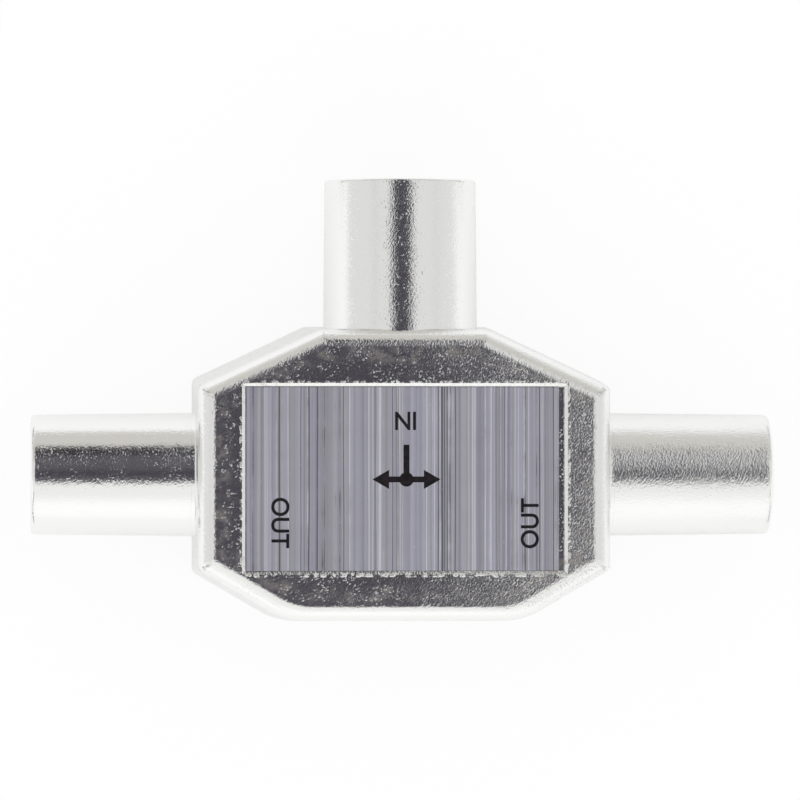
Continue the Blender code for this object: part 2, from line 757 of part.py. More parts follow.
def winding(name, frame, start_side, end_side):
    """Enamelled wire wound between two lines beside or through a core, its ends bent to the board.

    In the core's frame Z runs along the holes and Y points at the board.
    """
    end = CORE_LENGTH / 2 + WIRE_STRAIGHT
    centre = (start_side + end_side) / 2
    reach = (end_side - start_side) / 2
    levels = [WIRE_PITCH * ((WINDING_PASSES - 1) / 2 - k) for k in range(WINDING_PASSES)]
    board = CORE_HEIGHT / 2 + CORE_GLUE
    tail = end + WIRE_TAIL
    points = [(start_side, board, tail), (start_side, levels[0], tail)]
    for k, level in enumerate(levels):
        points += [(start_side, level, end), (start_side, level, -end)]
        for step in range(1, 6):
            angle = math.pi * step / 6
            x = centre - reach * math.cos(angle)
            points.append((x, level, -end - abs(reach) * math.sin(angle)))
        points += [(end_side, level, -end), (end_side, level, end)]
        if k + 1 < len(levels):
            for step in range(1, 6):
                angle = math.pi * step / 6
                x = centre + reach * math.cos(angle)
                y = mix(level, levels[k + 1], step / 6)
                points.append((x, y, end + abs(reach) * math.sin(angle)))
    last = end + abs(reach) + WIRE_TAIL
    points += [(end_side, levels[-1], last), (end_side, board, last)]

    curve = bpy.data.curves.new(name, "CURVE")
    curve.dimensions = "3D"
    curve.bevel_depth = WIRE_RADIUS
    curve.bevel_resolution = 2
    curve.use_fill_caps = True
    spline = curve.splines.new("POLY")
    spline.points.add(len(points) - 1)
    for point, position in zip(spline.points, points):
        point.co = (*position, 1.0)
    wire = add_object(name, curve, COPPER_WIRE)
    return place(wire, parent=frame)


def chip(name, length, width, height, centre, turned_by, material):
    """A chip part on the board's back, with end caps a little thicker than its body."""
    half = length / 2
    cap = half - length * CHIP_CAP_SHARE
    thin = height - CHIP_CAP_STEP
    side = [
        Vector((-half, 0.0)),
        Vector((-cap, 0.0)),
        Vector((-cap, CHIP_CAP_STEP)),
        Vector((cap, CHIP_CAP_STEP)),
        Vector((cap, 0.0)),
        Vector((half, 0.0)),
        Vector((half, height)),
        Vector((cap, height)),
        Vector((cap, thin)),
        Vector((-cap, thin)),
        Vector((-cap, height)),
        Vector((-half, height)),
    ]
    mesh = tapered_prism(name, side, -width / 2, side, width / 2, 0.0)
    item = add_object(name, mesh, material)
    item.location = (centre[0], centre[1], BOARD_BACK - CHIP_GAP)
    item.rotation_euler = (-math.pi / 2, 0.0, math.radians(turned_by))
    return item


def make_circuit(ports):
    """Everything soldered or glued to the board."""
    make_board()
    make_ground_solder()
    for side, port in ports.items():
        tail_solder(f"{side}_solder", port)

    matching = make_core("matching_core", -CORE_OFFSET)
    winding("matching_winding", matching, -CORE_HOLE_SPREAD, CORE_HOLE_SPREAD)
    splitting = make_core("splitting_core", CORE_OFFSET)
    outside = CORE_WIDTH / 2 + WIRE_RADIUS + WIRE_SIDE_GAP
    winding("splitting_winding_left", splitting, -CORE_HOLE_SPREAD, -outside)
    winding("splitting_winding_right", splitting, CORE_HOLE_SPREAD, outside)

    capacitor = (CAPACITOR_LENGTH, CAPACITOR_WIDTH, CAPACITOR_HEIGHT)
    tail_end = wall_at_axis(BODY_HALF_HEIGHT, END_DRAFT) + TAIL_END
    beside_tail = (0.0, tail_end - CAPACITOR_TO_TAIL - CAPACITOR_LENGTH / 2)
    chip("input_capacitor", *capacitor, beside_tail, 90.0, CAPACITOR_BODY)
    chip("trimming_capacitor", *capacitor, (0.0, -CORE_DROP), 90.0, CAPACITOR_BODY)
    resistor = (RESISTOR_LENGTH, RESISTOR_WIDTH, RESISTOR_HEIGHT)
    above_edge = (0.0, RESISTOR_FROM_BOTTOM - BODY_HALF_HEIGHT)
    chip("balance_resistor", *resistor, above_edge, 0.0, RESISTOR_BODY)


def make_connectors(ports):
    """The insulators and centre contacts of the three connectors."""
    insulator("in_insulator", SOCKET_BORE_RADIUS, SOCKET_HUB_RADIUS, ports["in"])
    slotted_contact("in_contact", ports["in"])
    for side in ("out_left", "out_right"):
        port = ports[side]
        insulator(f"{side}_insulator", PLUG_BORE_RADIUS, PLUG_HUB_RADIUS, port)
        pin(f"{side}_pin", port)


def main():
    """Builds the splitter."""
    ports = make_ports()
    make_housing(ports)
    make_back_cover()
    make_label()
    make_connectors(ports)
    make_circuit(ports)


main()
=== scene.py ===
"""Finish, markings and studio light of the coaxial splitter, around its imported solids.

The casting, the back cover, the label plate, the insulators and the centre contacts are modelled
again with fine rounds, in the sizes of their solids. The board and what it carries keep their own
meshes and get their finishes here. Lengths are in metres, +Z leaves the label face, +Y is the way
the socket points, and +X runs along the two plugs.
"""

import logging
import math
from collections.abc import Callable, Iterator, Mapping, Sequence
from contextlib import contextmanager
from dataclasses import dataclass
from enum import Enum

import bmesh
import bpy
from mathutils import Matrix, Vector


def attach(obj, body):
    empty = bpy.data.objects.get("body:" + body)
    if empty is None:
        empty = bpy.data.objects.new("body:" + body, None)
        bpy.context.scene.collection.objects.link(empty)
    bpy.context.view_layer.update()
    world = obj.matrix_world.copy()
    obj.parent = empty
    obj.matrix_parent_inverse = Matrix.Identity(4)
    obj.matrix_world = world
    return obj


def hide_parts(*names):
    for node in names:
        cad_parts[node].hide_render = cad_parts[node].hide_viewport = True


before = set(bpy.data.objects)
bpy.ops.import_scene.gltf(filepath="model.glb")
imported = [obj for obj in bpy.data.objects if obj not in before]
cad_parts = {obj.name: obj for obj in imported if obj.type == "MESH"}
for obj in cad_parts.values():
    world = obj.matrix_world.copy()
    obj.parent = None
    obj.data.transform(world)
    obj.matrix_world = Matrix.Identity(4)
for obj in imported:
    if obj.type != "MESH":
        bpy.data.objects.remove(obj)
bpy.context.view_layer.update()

MM = 0.001
# Points nearer than this become one.
MERGE = 0.0005 * MM
# A point nearer than this to a sawing plane lies on it.
SAWN = 0.0001 * MM
# An edge is upright when more than this share of its length is its rise.
UPRIGHT = 0.7
LOG = logging.getLogger("splitter")

Object = bpy.types.Object
Material = bpy.types.Material
Point = tuple[float, float]
Profile = list[Point]
Colour = tuple[float, float, float]
Value = "Wire | float | Sequence[float]"
# The two limits of a band.
Span = tuple[float, float]
# Where a soft step starts and ends, and the values before and after it.
Step = tuple[float, float, float, float]


class Operation(Enum):
    """What a second solid does to the first."""

    JOIN = "UNION"
    CUT = "DIFFERENCE"


class Ray(Enum):
    """Kinds of light path, by the names of their sockets."""

    CAMERA = "Is Camera Ray"
    GLOSSY = "Is Glossy Ray"


# Shader nodes.


class Wire:
    """A value on its way through the nodes. Arithmetic on it adds Math nodes."""

    def __init__(self, graph: "Graph", socket: bpy.types.NodeSocket) -> None:
        """Keeps the output socket and the graph that new nodes go to."""
        self.graph = graph
        self.socket = socket

    def _maths(self, operation: str, *values: Value) -> "Wire":
        """The result of a Math node on these values."""
        settings = {"operation": operation}
        return self.graph.node("ShaderNodeMath", settings, dict(enumerate(values)))

    def __add__(self, other: Value) -> "Wire":
        """Sum."""
        return self._maths("ADD", self, other)

    __radd__ = __add__

    def __mul__(self, other: Value) -> "Wire":
        """Product."""
        return self._maths("MULTIPLY", self, other)

    __rmul__ = __mul__

    def __sub__(self, other: Value) -> "Wire":
        """Difference."""
        return self._maths("SUBTRACT", self, other)

    def __rsub__(self, other: Value) -> "Wire":
        """Difference, with this value taken away."""
        return self._maths("SUBTRACT", other, self)

    def size(self) -> "Wire":
        """This value without its sign."""
        return self._maths("ABSOLUTE", self)

    def most(self, other: Value) -> "Wire":
        """The larger of two values."""
        return self._maths("MAXIMUM", self, other)

    def angle(self, other: "Wire") -> "Wire":
        """The angle in degrees whose tangent is this value over another."""
        return self._maths("ARCTAN2", self, other) * math.degrees(1.0)


class Graph:
    """The nodes of one material or world."""

    def __init__(self, tree: bpy.types.NodeTree) -> None:
        """Empties the tree."""
        self.tree = tree
        tree.nodes.clear()

    def node(
        self,
        kind: str,
        settings: Mapping[str, object] | None = None,
        inputs: Mapping[str | int, Value] | None = None,
        output: str | int = 0,
    ) -> Wire:
        """Adds a node.

        Args:
            kind: The node's type.
            settings: Its properties, set before its sockets.
            inputs: Values or wires of its sockets, by name or index.
            output: The socket that the wire comes from.

        Returns:
            The wire of that output.
        """
        made = self.tree.nodes.new(kind)
        for key, value in (settings or {}).items():
            setattr(made, key, value)
        for key, value in (inputs or {}).items():
            socket = self._find(made.inputs, key)
            if isinstance(value, Wire):
                self.tree.links.new(value.socket, socket)
            else:
                socket.default_value = value
        return Wire(self, self._find(made.outputs, output))

    @staticmethod
    def _find(sockets: bpy.types.NodeInputs, key: str | int) -> bpy.types.NodeSocket:
        """The socket at an index, or the enabled one of a name.

        Args:
            sockets: The node's inputs or outputs.
            key: The index or the name.

        Returns:
            The socket.
        """
        if isinstance(key, int):
            return sockets[key]
        return next(socket for socket in sockets if socket.name == key and socket.enabled)

    def smooth(
        self, value: Value, low: float, high: float, start: Value = 0.0, end: Value = 1.0
    ) -> Wire:
        """A soft step from one value to another between two limits.

        Args:
            value: What is measured.
            low: Where the step starts.
            high: Where it ends, above low.
            start: The result below the step.
            end: The result above it.

        Returns:
            The wire of the result.
        """
        inputs = {"Value": value, "From Min": low, "From Max": high, "To Min": start, "To Max": end}
        return self.node("ShaderNodeMapRange", {"interpolation_type": "SMOOTHSTEP"}, inputs)

    def band(self, value: Value, low: float, high: float, soft: float) -> Wire:
        """One between two limits and nothing outside them, with soft edges.

        Args:
            value: What is measured.
            low: The lower edge.
            high: The upper edge.
            soft: Half the width of an edge.

        Returns:
            The wire of the result.
        """
        rise = self.smooth(value, low - soft, low + soft)
        return rise * self.smooth(value, high - soft, high + soft, 1.0, 0.0)

    def place(self) -> Wire:
        """Where a point is on the object."""
        return self.node("ShaderNodeTexCoord", output="Object")

    def split(self, vector: Wire) -> tuple[Wire, Wire, Wire]:
        """The three numbers of a vector.

        Args:
            vector: The wire of the vector.

        Returns:
            The wires of its numbers.
        """
        first = self.node("ShaderNodeSeparateXYZ", inputs={0: vector})
        sockets = first.socket.node.outputs
        return first, Wire(self, sockets[1]), Wire(self, sockets[2])

    def noise(self, vector: Wire, size: float, detail: float = 0.0, rough: float = 0.5) -> Wire:
        """Soft noise from 0 to 1.

        Args:
            vector: Where it is read.
            size: The length of one swell.
            detail: How many finer layers are added.
            rough: How strong each finer layer is.

        Returns:
            The wire of the noise.
        """
        inputs = {"Vector": vector, "Scale": 1.0 / size, "Detail": detail, "Roughness": rough}
        return self.node("ShaderNodeTexNoise", inputs=inputs)

    def stretched(self, vector: Wire, turn: float, scale: Sequence[float]) -> Wire:
        """Places turned about Z and then scaled along the turned axes.

        Args:
            vector: The places.
            turn: The angle in degrees.
            scale: The scale along each axis.

        Returns:
            The wire of the new places.
        """
        turned_by = (0.0, 0.0, math.radians(turn))
        spun = self.node("ShaderNodeMapping", inputs={"Vector": vector, "Rotation": turned_by})
        return self.node("ShaderNodeMapping", inputs={"Vector": spun, "Scale": scale})

    def blend(self, share: Value, first: Value, second: Value) -> Wire:
        """A colour between two colours."""
        inputs = {"Factor": share, "A": self.paint(first), "B": self.paint(second)}
        return self.node("ShaderNodeMix", {"data_type": "RGBA"}, inputs, "Result")

    @staticmethod
    def paint(colour: Value) -> Value:
        """A colour with its alpha, or the wire that carries one."""
        return colour if isinstance(colour, Wire) else (*colour, 1.0)

    def bump(self, height: Wire, distance: float, over: Wire | None = None) -> Wire:
        """The normal of a raised surface.

        Args:
            height: How high it is raised, from 0 to 1.
            distance: How high 1 is.
            over: The normal that it is raised on, for bumps on bumps.

        Returns:
            The wire of the normal.
        """
        inputs = {"Height": height, "Distance": distance}
        if over:
            inputs["Normal"] = over
        return self.node("ShaderNodeBump", inputs=inputs)

    def node_end(self, kind: str, shader: Wire) -> None:
        """Adds the output node."""
        end = self.tree.nodes.new(kind)
        self.tree.links.new(shader.socket, end.inputs["Surface"])


def new_material(name: str) -> tuple[Material, Graph]:
    """A material with an empty graph.

    Args:
        name: The material's name.

    Returns:
        The material and its graph.
    """
    material = bpy.data.materials.new(name)
    material.use_nodes = True
    return material, Graph(material.node_tree)


# Finishes.


class Finish:
    """A surface finish. A subclass says what goes into the sockets of its Principled BSDF."""

    name: str

    def sockets(self, graph: Graph, place: Wire) -> dict[str, Value]:
        """The values of the sockets by name.

        Args:
            graph: The material's graph.
            place: Where a point is on the object.

        Returns:
            The values.
        """
        raise NotImplementedError

    def material(self) -> Material:
        """Makes the material.

        Returns:
            The material.
        """
        material, graph = new_material(self.name)
        shader = graph.node(
            "ShaderNodeBsdfPrincipled", inputs=self.sockets(graph, graph.place())
        )
        graph.node_end("ShaderNodeOutputMaterial", shader)
        return material


@dataclass(frozen=True)
class CastNickel(Finish):
    """Bright nickel over a die casting, whose grain gets coarser to the right and the bottom.

    Below the grain it has wide ripples and small pimples, and a thin brownish haze lies on the
    front face inside the rim. A step holds the limits of a place and the values at them.
    """

    name: str = "cast_nickel"
    colour: Colour = (0.93, 0.93, 0.92)
    haze_colour: Colour = (0.38, 0.31, 0.24)
    roughness: float = 0.08
    coarse_roughness: float = 0.08
    haze_roughness: float = 0.1
    haze_dulling: float = 0.3
    front: Step = (13.4 * MM, 13.7 * MM, 0.0, 1.0)
    grain: float = 0.12 * MM
    grain_stretch: float = 0.58
    grain_turn: float = 30.0
    grain_height: float = 0.022 * MM
    ripple: float = 2.6 * MM
    ripple_height: float = 0.03 * MM
    pimple: float = 0.17 * MM
    pimple_height: float = 0.008 * MM
    pimple_rise: Step = (0.56, 0.82, 0.0, 1.0)
    cluster: float = 1.1 * MM
    cluster_rise: Step = (0.36, 0.62, 0.35, 1.3)
    left_plug: Step = (-19.0 * MM, -15.0 * MM, 0.75, 1.0)
    coarse: float = 0.34
    over_body: Step = (-4.0 * MM, 12.0 * MM, 0.0, 0.62)
    over_plug: Step = (15.0 * MM, 27.0 * MM, 0.0, 0.1)
    to_bottom: Step = (-10.0 * MM, 0.0, 0.1, 0.0)
    by_rim: float = 0.1
    rim_band: float = 0.9 * MM
    rim_soft: float = 0.5 * MM
    patch: float = 2.8 * MM
    patchiness: float = 0.5
    pocket_floor: Step = (-0.32 * MM, -0.26 * MM, 0.6, 0.0)
    pocket_edge: Span = (-0.06 * MM, 0.16 * MM)
    pocket_edge_soft: float = 0.08 * MM
    rag: float = 0.45 * MM
    rag_rise: Step = (0.46, 0.64, 0.0, 1.8)
    flat_edge: float = -1.5 * MM
    haze_width: float = 1.1 * MM
    haze_soft: float = 0.35 * MM
    haze_cloud: float = 0.9 * MM
    haze_rise: Step = (0.45, 0.70, 0.0, 0.6)

    def coarseness(self, graph: Graph, place: Wire, rim: Wire) -> Wire:
        """How coarse the grain is: ragged round the label's pocket, calmer on its floor.

        Args:
            graph: The material's graph.
            place: Where a point is.
            rim: How far it lies outside the housing's outline.

        Returns:
            The wire of the coarseness.
        """
        x, y, z = graph.split(place)
        coarse = self.coarse + graph.smooth(x, *self.over_body) + graph.smooth(x, *self.over_plug)
        inner = self.flat_edge - self.rim_band
        inner_band = graph.band(rim, inner, self.flat_edge, self.rim_soft)
        coarse = coarse + graph.smooth(y, *self.to_bottom) + inner_band * self.by_rim
        coarse = coarse + graph.noise(place, self.patch, detail=1.0) * self.patchiness
        pocket = self.beyond_pocket(graph, place)
        ragged = graph.band(pocket, *self.pocket_edge, self.pocket_edge_soft)
        ragged = ragged * graph.smooth(graph.noise(place, self.rag, detail=1.0), *self.rag_rise)
        on_face = graph.smooth(z, *self.front)
        calm = 1.0 - graph.smooth(pocket, *self.pocket_floor) * on_face
        return coarse * calm + ragged * on_face

    @staticmethod
    def beyond_pocket(graph: Graph, place: Wire) -> Wire:
        """How far a point lies outside the label's pocket, below zero within it.

        Args:
            graph: The material's graph.
            place: Where a point is on the object.

        Returns:
            The wire of the distance.
        """
        x, y, _ = graph.split(place)
        casting = Casting()
        beyond_side = x.size() - casting.pocket_width / 2
        return beyond_side.most((y + casting.pocket_drop).size() - casting.pocket_height / 2)

    @staticmethod
    def beyond_outline(graph: Graph, place: Wire) -> Wire:
        """How far a point lies outside the housing's outline, below zero within it.

        Args:
            graph: The material's graph.
            place: Where a point is on the object.

        Returns:
            The wire of the distance.
        """
        x, y, _ = graph.split(place)
        across, outline = x.size(), Outline()
        half_height = outline.half_height - outline.end_draft
        rim = (across - outline.half_width).most(y.size() - half_height)
        for normal, corner in outline.chamfers():
            rim = rim.most(across * normal.x + y * normal.y - normal.dot(corner))
        return rim

    def pimples(self, graph: Graph, place: Wire) -> Wire:
        """The pimples, which stand in clusters, with few on the left plug.

        Args:
            graph: The material's graph.
            place: Where a point is on the object.

        Returns:
            The wire of their height.
        """
        clusters = graph.smooth(graph.noise(place, self.cluster, detail=1.0), *self.cluster_rise)
        clusters = clusters * graph.smooth(graph.split(place)[0], *self.left_plug)
        pimples = graph.noise(place, self.pimple, detail=0.5)
        return clusters * graph.smooth(pimples, *self.pimple_rise)

    def haze(self, graph: Graph, place: Wire, rim: Wire) -> Wire:
        """Faint patches of haze on the face along the inner side of the rim.

        Args:
            graph: The material's graph.
            place: Where a point is.
            rim: How far it lies outside the housing's outline.

        Returns:
            The wire of the haze.
        """
        inner = self.flat_edge - self.haze_width
        beside = graph.band(rim, inner, self.flat_edge, self.haze_soft)
        clouds = graph.noise(place, self.haze_cloud, detail=3.0, rough=0.65)
        on_face = graph.smooth(graph.split(place)[2], *self.front)
        return graph.smooth(clouds, *self.haze_rise) * beside * on_face

    def sockets(self, graph: Graph, place: Wire) -> dict[str, Value]:
        """Ripples, pimples and grain on top of each other, and the haze in the colour.

        Args:
            graph: The material's graph.
            place: Where a point is on the object.

        Returns:
            The values of the sockets by name.
        """
        rim = self.beyond_outline(graph, place)
        coarse = self.coarseness(graph, place, rim)
        haze = self.haze(graph, place, rim)
        along = graph.stretched(place, self.grain_turn, (1.0, self.grain_stretch, 1.0))
        grain = graph.noise(along, self.grain, detail=1.5, rough=0.6) * coarse
        waved = graph.bump(graph.noise(place, self.ripple, detail=1.0), self.ripple_height)
        pimpled = graph.bump(self.pimples(graph, place), self.pimple_height, waved)
        dulled = coarse * self.coarse_roughness + haze * self.haze_roughness
        return {
            "Base Color": graph.blend(haze, self.colour, self.haze_colour),
            "Metallic": 1.0 - haze * self.haze_dulling,
            "Roughness": self.roughness + dulled,
            "Normal": graph.bump(grain, self.grain_height, pimpled),
        }


@dataclass(frozen=True)
class RolledSheet(Finish):
    """Nickel-plated sheet, with the fine lines of rolling and a few scratches."""

    name: str = "rolled_nickel_sheet"
    colour: Colour = (0.78, 0.775, 0.76)
    worn: Colour = (0.60, 0.585, 0.56)
    line: float = 0.12 * MM
    line_stretch: float = 0.02
    line_height: float = 0.006 * MM
    streak_rise: Step = (0.40, 0.66, 0.0, 0.5)
    scratch: float = 0.35 * MM
    scratch_turn: float = 37.0
    scratch_stretch: float = 0.03
    scratch_height: float = 0.01 * MM
    scratch_rise: Step = (0.68, 0.76, 0.0, 1.0)
    cloud: float = 4.0 * MM
    cloud_wear: float = 0.3
    roughness: float = 0.2
    cloud_roughness: float = 0.12
    scratch_roughness: float = 0.1

    def sockets(self, graph: Graph, place: Wire) -> dict[str, Value]:
        """Lines over scratches, and clouds and streaks in the colour.

        Args:
            graph: The material's graph.
            place: Where a point is on the object.

        Returns:
            The values of the sockets by name.
        """
        along = graph.stretched(place, 0.0, (self.line_stretch, 1.0, 1.0))
        lines = graph.noise(along, self.line, detail=2.0)
        across = graph.stretched(place, self.scratch_turn, (self.scratch_stretch, 1.0, 1.0))
        scratches = graph.smooth(graph.noise(across, self.scratch, detail=1.0), *self.scratch_rise)
        clouds = graph.noise(place, self.cloud, detail=3.0)
        wear = clouds * self.cloud_wear + graph.smooth(lines, *self.streak_rise)
        dulled = clouds * self.cloud_roughness
        scratched = graph.bump(1.0 - scratches, self.scratch_height)
        return {
            "Base Color": graph.blend(wear, self.colour, self.worn),
            "Metallic": 1.0,
            "Roughness": self.roughness + dulled + scratches * self.scratch_roughness,
            "Normal": graph.bump(lines, self.line_height, scratched),
        }


@dataclass(frozen=True)
class BrushedPlate(Finish):
    """Label sheet brushed from top to bottom, in lavender and neutral greys."""

    name: str = "brushed_label_plate"
    lavender: Colour = (0.67, 0.665, 0.80)
    neutral: Colour = (0.67, 0.67, 0.725)
    shade: Colour = (0.34, 0.335, 0.375)
    dark: Colour = (0.13, 0.125, 0.14)
    light: Colour = (0.92, 0.92, 0.98)
    wide_bar: float = 0.30 * MM
    bar: float = 0.13 * MM
    line: float = 0.075 * MM
    hue_bar: float = 0.26 * MM
    row_start: float = 0.1
    bar_shade: float = 0.45
    cloud_shade: float = 0.25
    shade_cut: float = 0.08
    hue_rise: Step = (0.55, 0.75, 0.0, 1.0)
    line_wear: float = 0.12
    dark_line: Step = (0.96, 1.0, 0.0, 0.8)
    light_line: Step = (0.09, 0.15, 0.7, 0.0)
    drift: float = 0.12 * MM
    drift_stretch: float = 0.05
    swell: float = 0.6 * MM
    cloud: float = 2.5 * MM
    scuff: float = 0.30 * MM
    scuff_rise: Step = (0.70, 0.80, 0.0, 0.3)
    scratch: float = 0.5 * MM
    scratch_turn: float = 62.0
    scratch_stretch: float = 0.02
    scratch_rise: Step = (0.74, 0.79, 0.0, 0.35)
    groove_height: float = 0.004 * MM
    metallic: float = 0.85
    roughness: float = 0.42
    bar_roughness: float = 0.1

    @staticmethod
    def bars(graph: Graph, across: Wire, width: float, start: float) -> Wire:
        """A random number from 0 to 1 for each of many bars of uneven widths.

        Args:
            graph: The graph.
            across: Where a point lies across the bars.
            width: A bar's mean width.
            start: Sets one row of bars apart from another.

        Returns:
            The wire of the number.
        """
        inputs = {"W": across + start, "Scale": 1.0 / width}
        cells = graph.node("ShaderNodeTexVoronoi", {"voronoi_dimensions": "1D"}, inputs, "Color")
        return graph.split(cells)[0]

    def sockets(self, graph: Graph, place: Wire) -> dict[str, Value]:
        """Bars of several widths that drift a little, with scuffs and scratches over them.

        Args:
            graph: The material's graph.
            place: Where a point is on the object.

        Returns:
            The values of the sockets by name.
        """
        along = graph.stretched(place, 0.0, (1.0, self.drift_stretch, 0.0))
        across = graph.split(place)[0] + graph.noise(along, self.swell, detail=1.0) * self.drift
        widths = (self.wide_bar, self.bar, self.line, self.hue_bar)
        wide, fine, lines, hues = (
            self.bars(graph, across, width, self.row_start * row)
            for row, width in enumerate(widths, start=1)
        )
        worn = graph.noise(place, self.cloud, detail=3.0)
        grey = graph.blend(graph.smooth(hues, *self.hue_rise), self.lavender, self.neutral)
        shaded = wide * self.bar_shade + fine * self.bar_shade + worn * self.cloud_shade
        lit = graph.blend(shaded - self.shade_cut, grey, self.shade)
        faded = lines + worn * self.line_wear
        lined = graph.blend(graph.smooth(faded, *self.dark_line), lit, self.dark)
        marked = graph.blend(graph.smooth(faded, *self.light_line), lined, self.light)
        scuffs = graph.smooth(graph.noise(place, self.scuff, detail=2.0), *self.scuff_rise)
        scuffed = graph.blend(scuffs, marked, self.light)
        stretch = (self.scratch_stretch, 1.0, 0.0)
        scratched = graph.stretched(place, self.scratch_turn, stretch)
        scratches = graph.noise(scratched, self.scratch, detail=1.0)
        scratches = graph.smooth(scratches, *self.scratch_rise)
        return {
            "Base Color": graph.blend(scratches, scuffed, self.light),
            "Metallic": self.metallic,
            "Roughness": self.roughness + fine * self.bar_roughness,
            "Normal": graph.bump(wide + fine, self.groove_height),
        }


@dataclass(frozen=True)
class TurnedMetal(Finish):
    """Bright plating over turned brass, with the tool's fine rings."""

    name: str = "plated_contact"
    colour: Colour = (0.82, 0.79, 0.72)
    worn: Colour = (0.62, 0.56, 0.45)
    spot: float = 0.8 * MM
    spot_wear: float = 0.35
    ring: float = 0.07 * MM
    ring_height: float = 0.0025 * MM
    roughness: float = 0.14
    spot_roughness: float = 0.1

    def sockets(self, graph: Graph, place: Wire) -> dict[str, Value]:
        """Rings in relief and worn spots in the colour.

        Args:
            graph: The material's graph.
            place: Where a point is on the object.

        Returns:
            The values of the sockets by name.
        """
        spots = graph.noise(place, self.spot, detail=3.0)
        rings = graph.noise(place, self.ring, detail=1.0)
        return {
            "Base Color": graph.blend(spots * self.spot_wear, self.colour, self.worn),
            "Metallic": 1.0,
            "Roughness": self.roughness + spots * self.spot_roughness,
            "Normal": graph.bump(rings, self.ring_height),
        }


@dataclass(frozen=True)
class Plain(Finish):
    """A finish of one stuff: its colour clouds into a second one over a grain.

    Its lengths are those of a cloud and of a grain, and the grain's height, in millimetres.
    """

    name: str
    colour: Colour
    second: Colour
    lengths: tuple[float, float, float]
    roughness: float
    metallic: float = 0.0
    gloss: float = 0.5
    cloud_rise: Step = (0.35, 0.65, 0.0, 1.0)
    grain_roughness: float = 0.1

    def sockets(self, graph: Graph, place: Wire) -> dict[str, Value]:
        """Clouds in the colour and grain in relief.

        Args:
            graph: The material's graph.
            place: Where a point is on the object.

        Returns:
            The values of the sockets by name.
        """
        cloud, size, height = (length * MM for length in self.lengths)
        clouds = graph.smooth(graph.noise(place, cloud, detail=3.0), *self.cloud_rise)
        grain = graph.noise(place, size, detail=2.0)
        return {
            "Base Color": graph.blend(clouds, self.colour, self.second),
            "Metallic": self.metallic,
            "Roughness": self.roughness + grain * self.grain_roughness,
            "Specular IOR Level": self.gloss,
            "Normal": graph.bump(grain, height),
        }


MOULDED_WHITE = Plain(
    "moulded_insulator", (0.84, 0.84, 0.81), (0.80, 0.795, 0.76), (1.6, 0.12, 0.004), 0.42
)
INK = Plain(
    "printing_ink",
    (0.010, 0.008, 0.010),
    (0.018, 0.014, 0.017),
    (0.4, 0.05, 0.002),
    0.45,
    gloss=0.1,
)
LAMINATE = Plain(
    "board_laminate", (0.43, 0.30, 0.13), (0.36, 0.24, 0.10), (1.2, 0.10, 0.006), 0.5
)
FERRITE = Plain("ferrite", (0.07, 0.07, 0.075), (0.045, 0.045, 0.05), (0.5, 0.07, 0.01), 0.5)
ENAMELLED = Plain(
    "enamelled_wire", (0.55, 0.20, 0.07), (0.44, 0.14, 0.05), (0.9, 0.2, 0.002), 0.2, metallic=0.7
)
CAPACITOR = Plain(
    "capacitor_ceramic", (0.45, 0.33, 0.20), (0.40, 0.28, 0.16), (0.5, 0.08, 0.003), 0.45
)
RESISTOR = Plain(
    "resistor_black", (0.03, 0.03, 0.035), (0.05, 0.05, 0.05), (0.5, 0.08, 0.003), 0.4
)
TIN = Plain(
    "solder", (0.68, 0.68, 0.67), (0.56, 0.56, 0.56), (0.6, 0.2, 0.008), 0.22, metallic=1.0
)


# Modelling steps.


def deselect() -> None:
    """Deselects all objects, as each operator acts on what is selected."""
    bpy.ops.object.select_all(action="DESELECT")


def pick(piece: Object) -> None:
    """Selects one object alone and makes it the active one."""
    deselect()
    piece.select_set(True)
    bpy.context.view_layer.objects.active = piece


@contextmanager
def editing(piece: Object) -> Iterator[None]:
    """Edit mode on one piece, with nothing of it selected at first.

    Args:
        piece: The piece.

    Yields:
        Nothing, in edit mode.
    """
    pick(piece)
    bpy.ops.object.mode_set(mode="EDIT")
    bpy.ops.mesh.select_all(action="DESELECT")
    yield
    bpy.ops.object.mode_set(mode="OBJECT")


def select_edges(piece: Object, wanted: Callable[[bmesh.types.BMEdge], bool]) -> None:
    """Selects, in edit mode, the edges that pass a test.

    Args:
        piece: The piece in edit mode.
        wanted: The test.
    """
    bpy.context.tool_settings.mesh_select_mode = (False, True, False)
    bpy.ops.mesh.select_all(action="DESELECT")
    model = bmesh.from_edit_mesh(piece.data)
    for edge in [edge for edge in model.edges if wanted(edge)]:
        edge.select_set(True)
    bmesh.update_edit_mesh(piece.data)


def round_edges(radius: float, steps: int) -> None:
    """Rounds the selected edges, in edit mode."""
    bpy.ops.mesh.bevel(offset=radius, segments=steps, affect="EDGES")


def is_upright(edge: bmesh.types.BMEdge) -> bool:
    """Whether an edge runs mostly along Z."""
    way = edge.verts[1].co - edge.verts[0].co
    return abs(way.z) > UPRIGHT * way.length


def is_above(edge: bmesh.types.BMEdge, height: float) -> bool:
    """Whether an edge lies at a height or above it."""
    return min(corner.co.z for corner in edge.verts) > height - MERGE


def apply_modifier(piece: Object, kind: str, settings: Mapping[str, object]) -> None:
    """Adds a modifier with its settings and applies it.

    Args:
        piece: The piece.
        kind: The modifier's type.
        settings: Its properties.
    """
    modifier = piece.modifiers.new(kind.lower(), kind)
    for key, value in settings.items():
        setattr(modifier, key, value)
    pick(piece)
    bpy.ops.object.modifier_apply(modifier=modifier.name)


def combine(piece: Object, other: Object, operation: Operation) -> None:
    """Joins a second solid to the piece or cuts it away, and removes the second.

    Args:
        piece: The piece.
        other: The second solid.
        operation: What it does to the piece.
    """
    settings = {"operation": operation.value, "object": other, "solver": "EXACT"}
    apply_modifier(piece, "BOOLEAN", settings)
    bpy.data.meshes.remove(other.data)


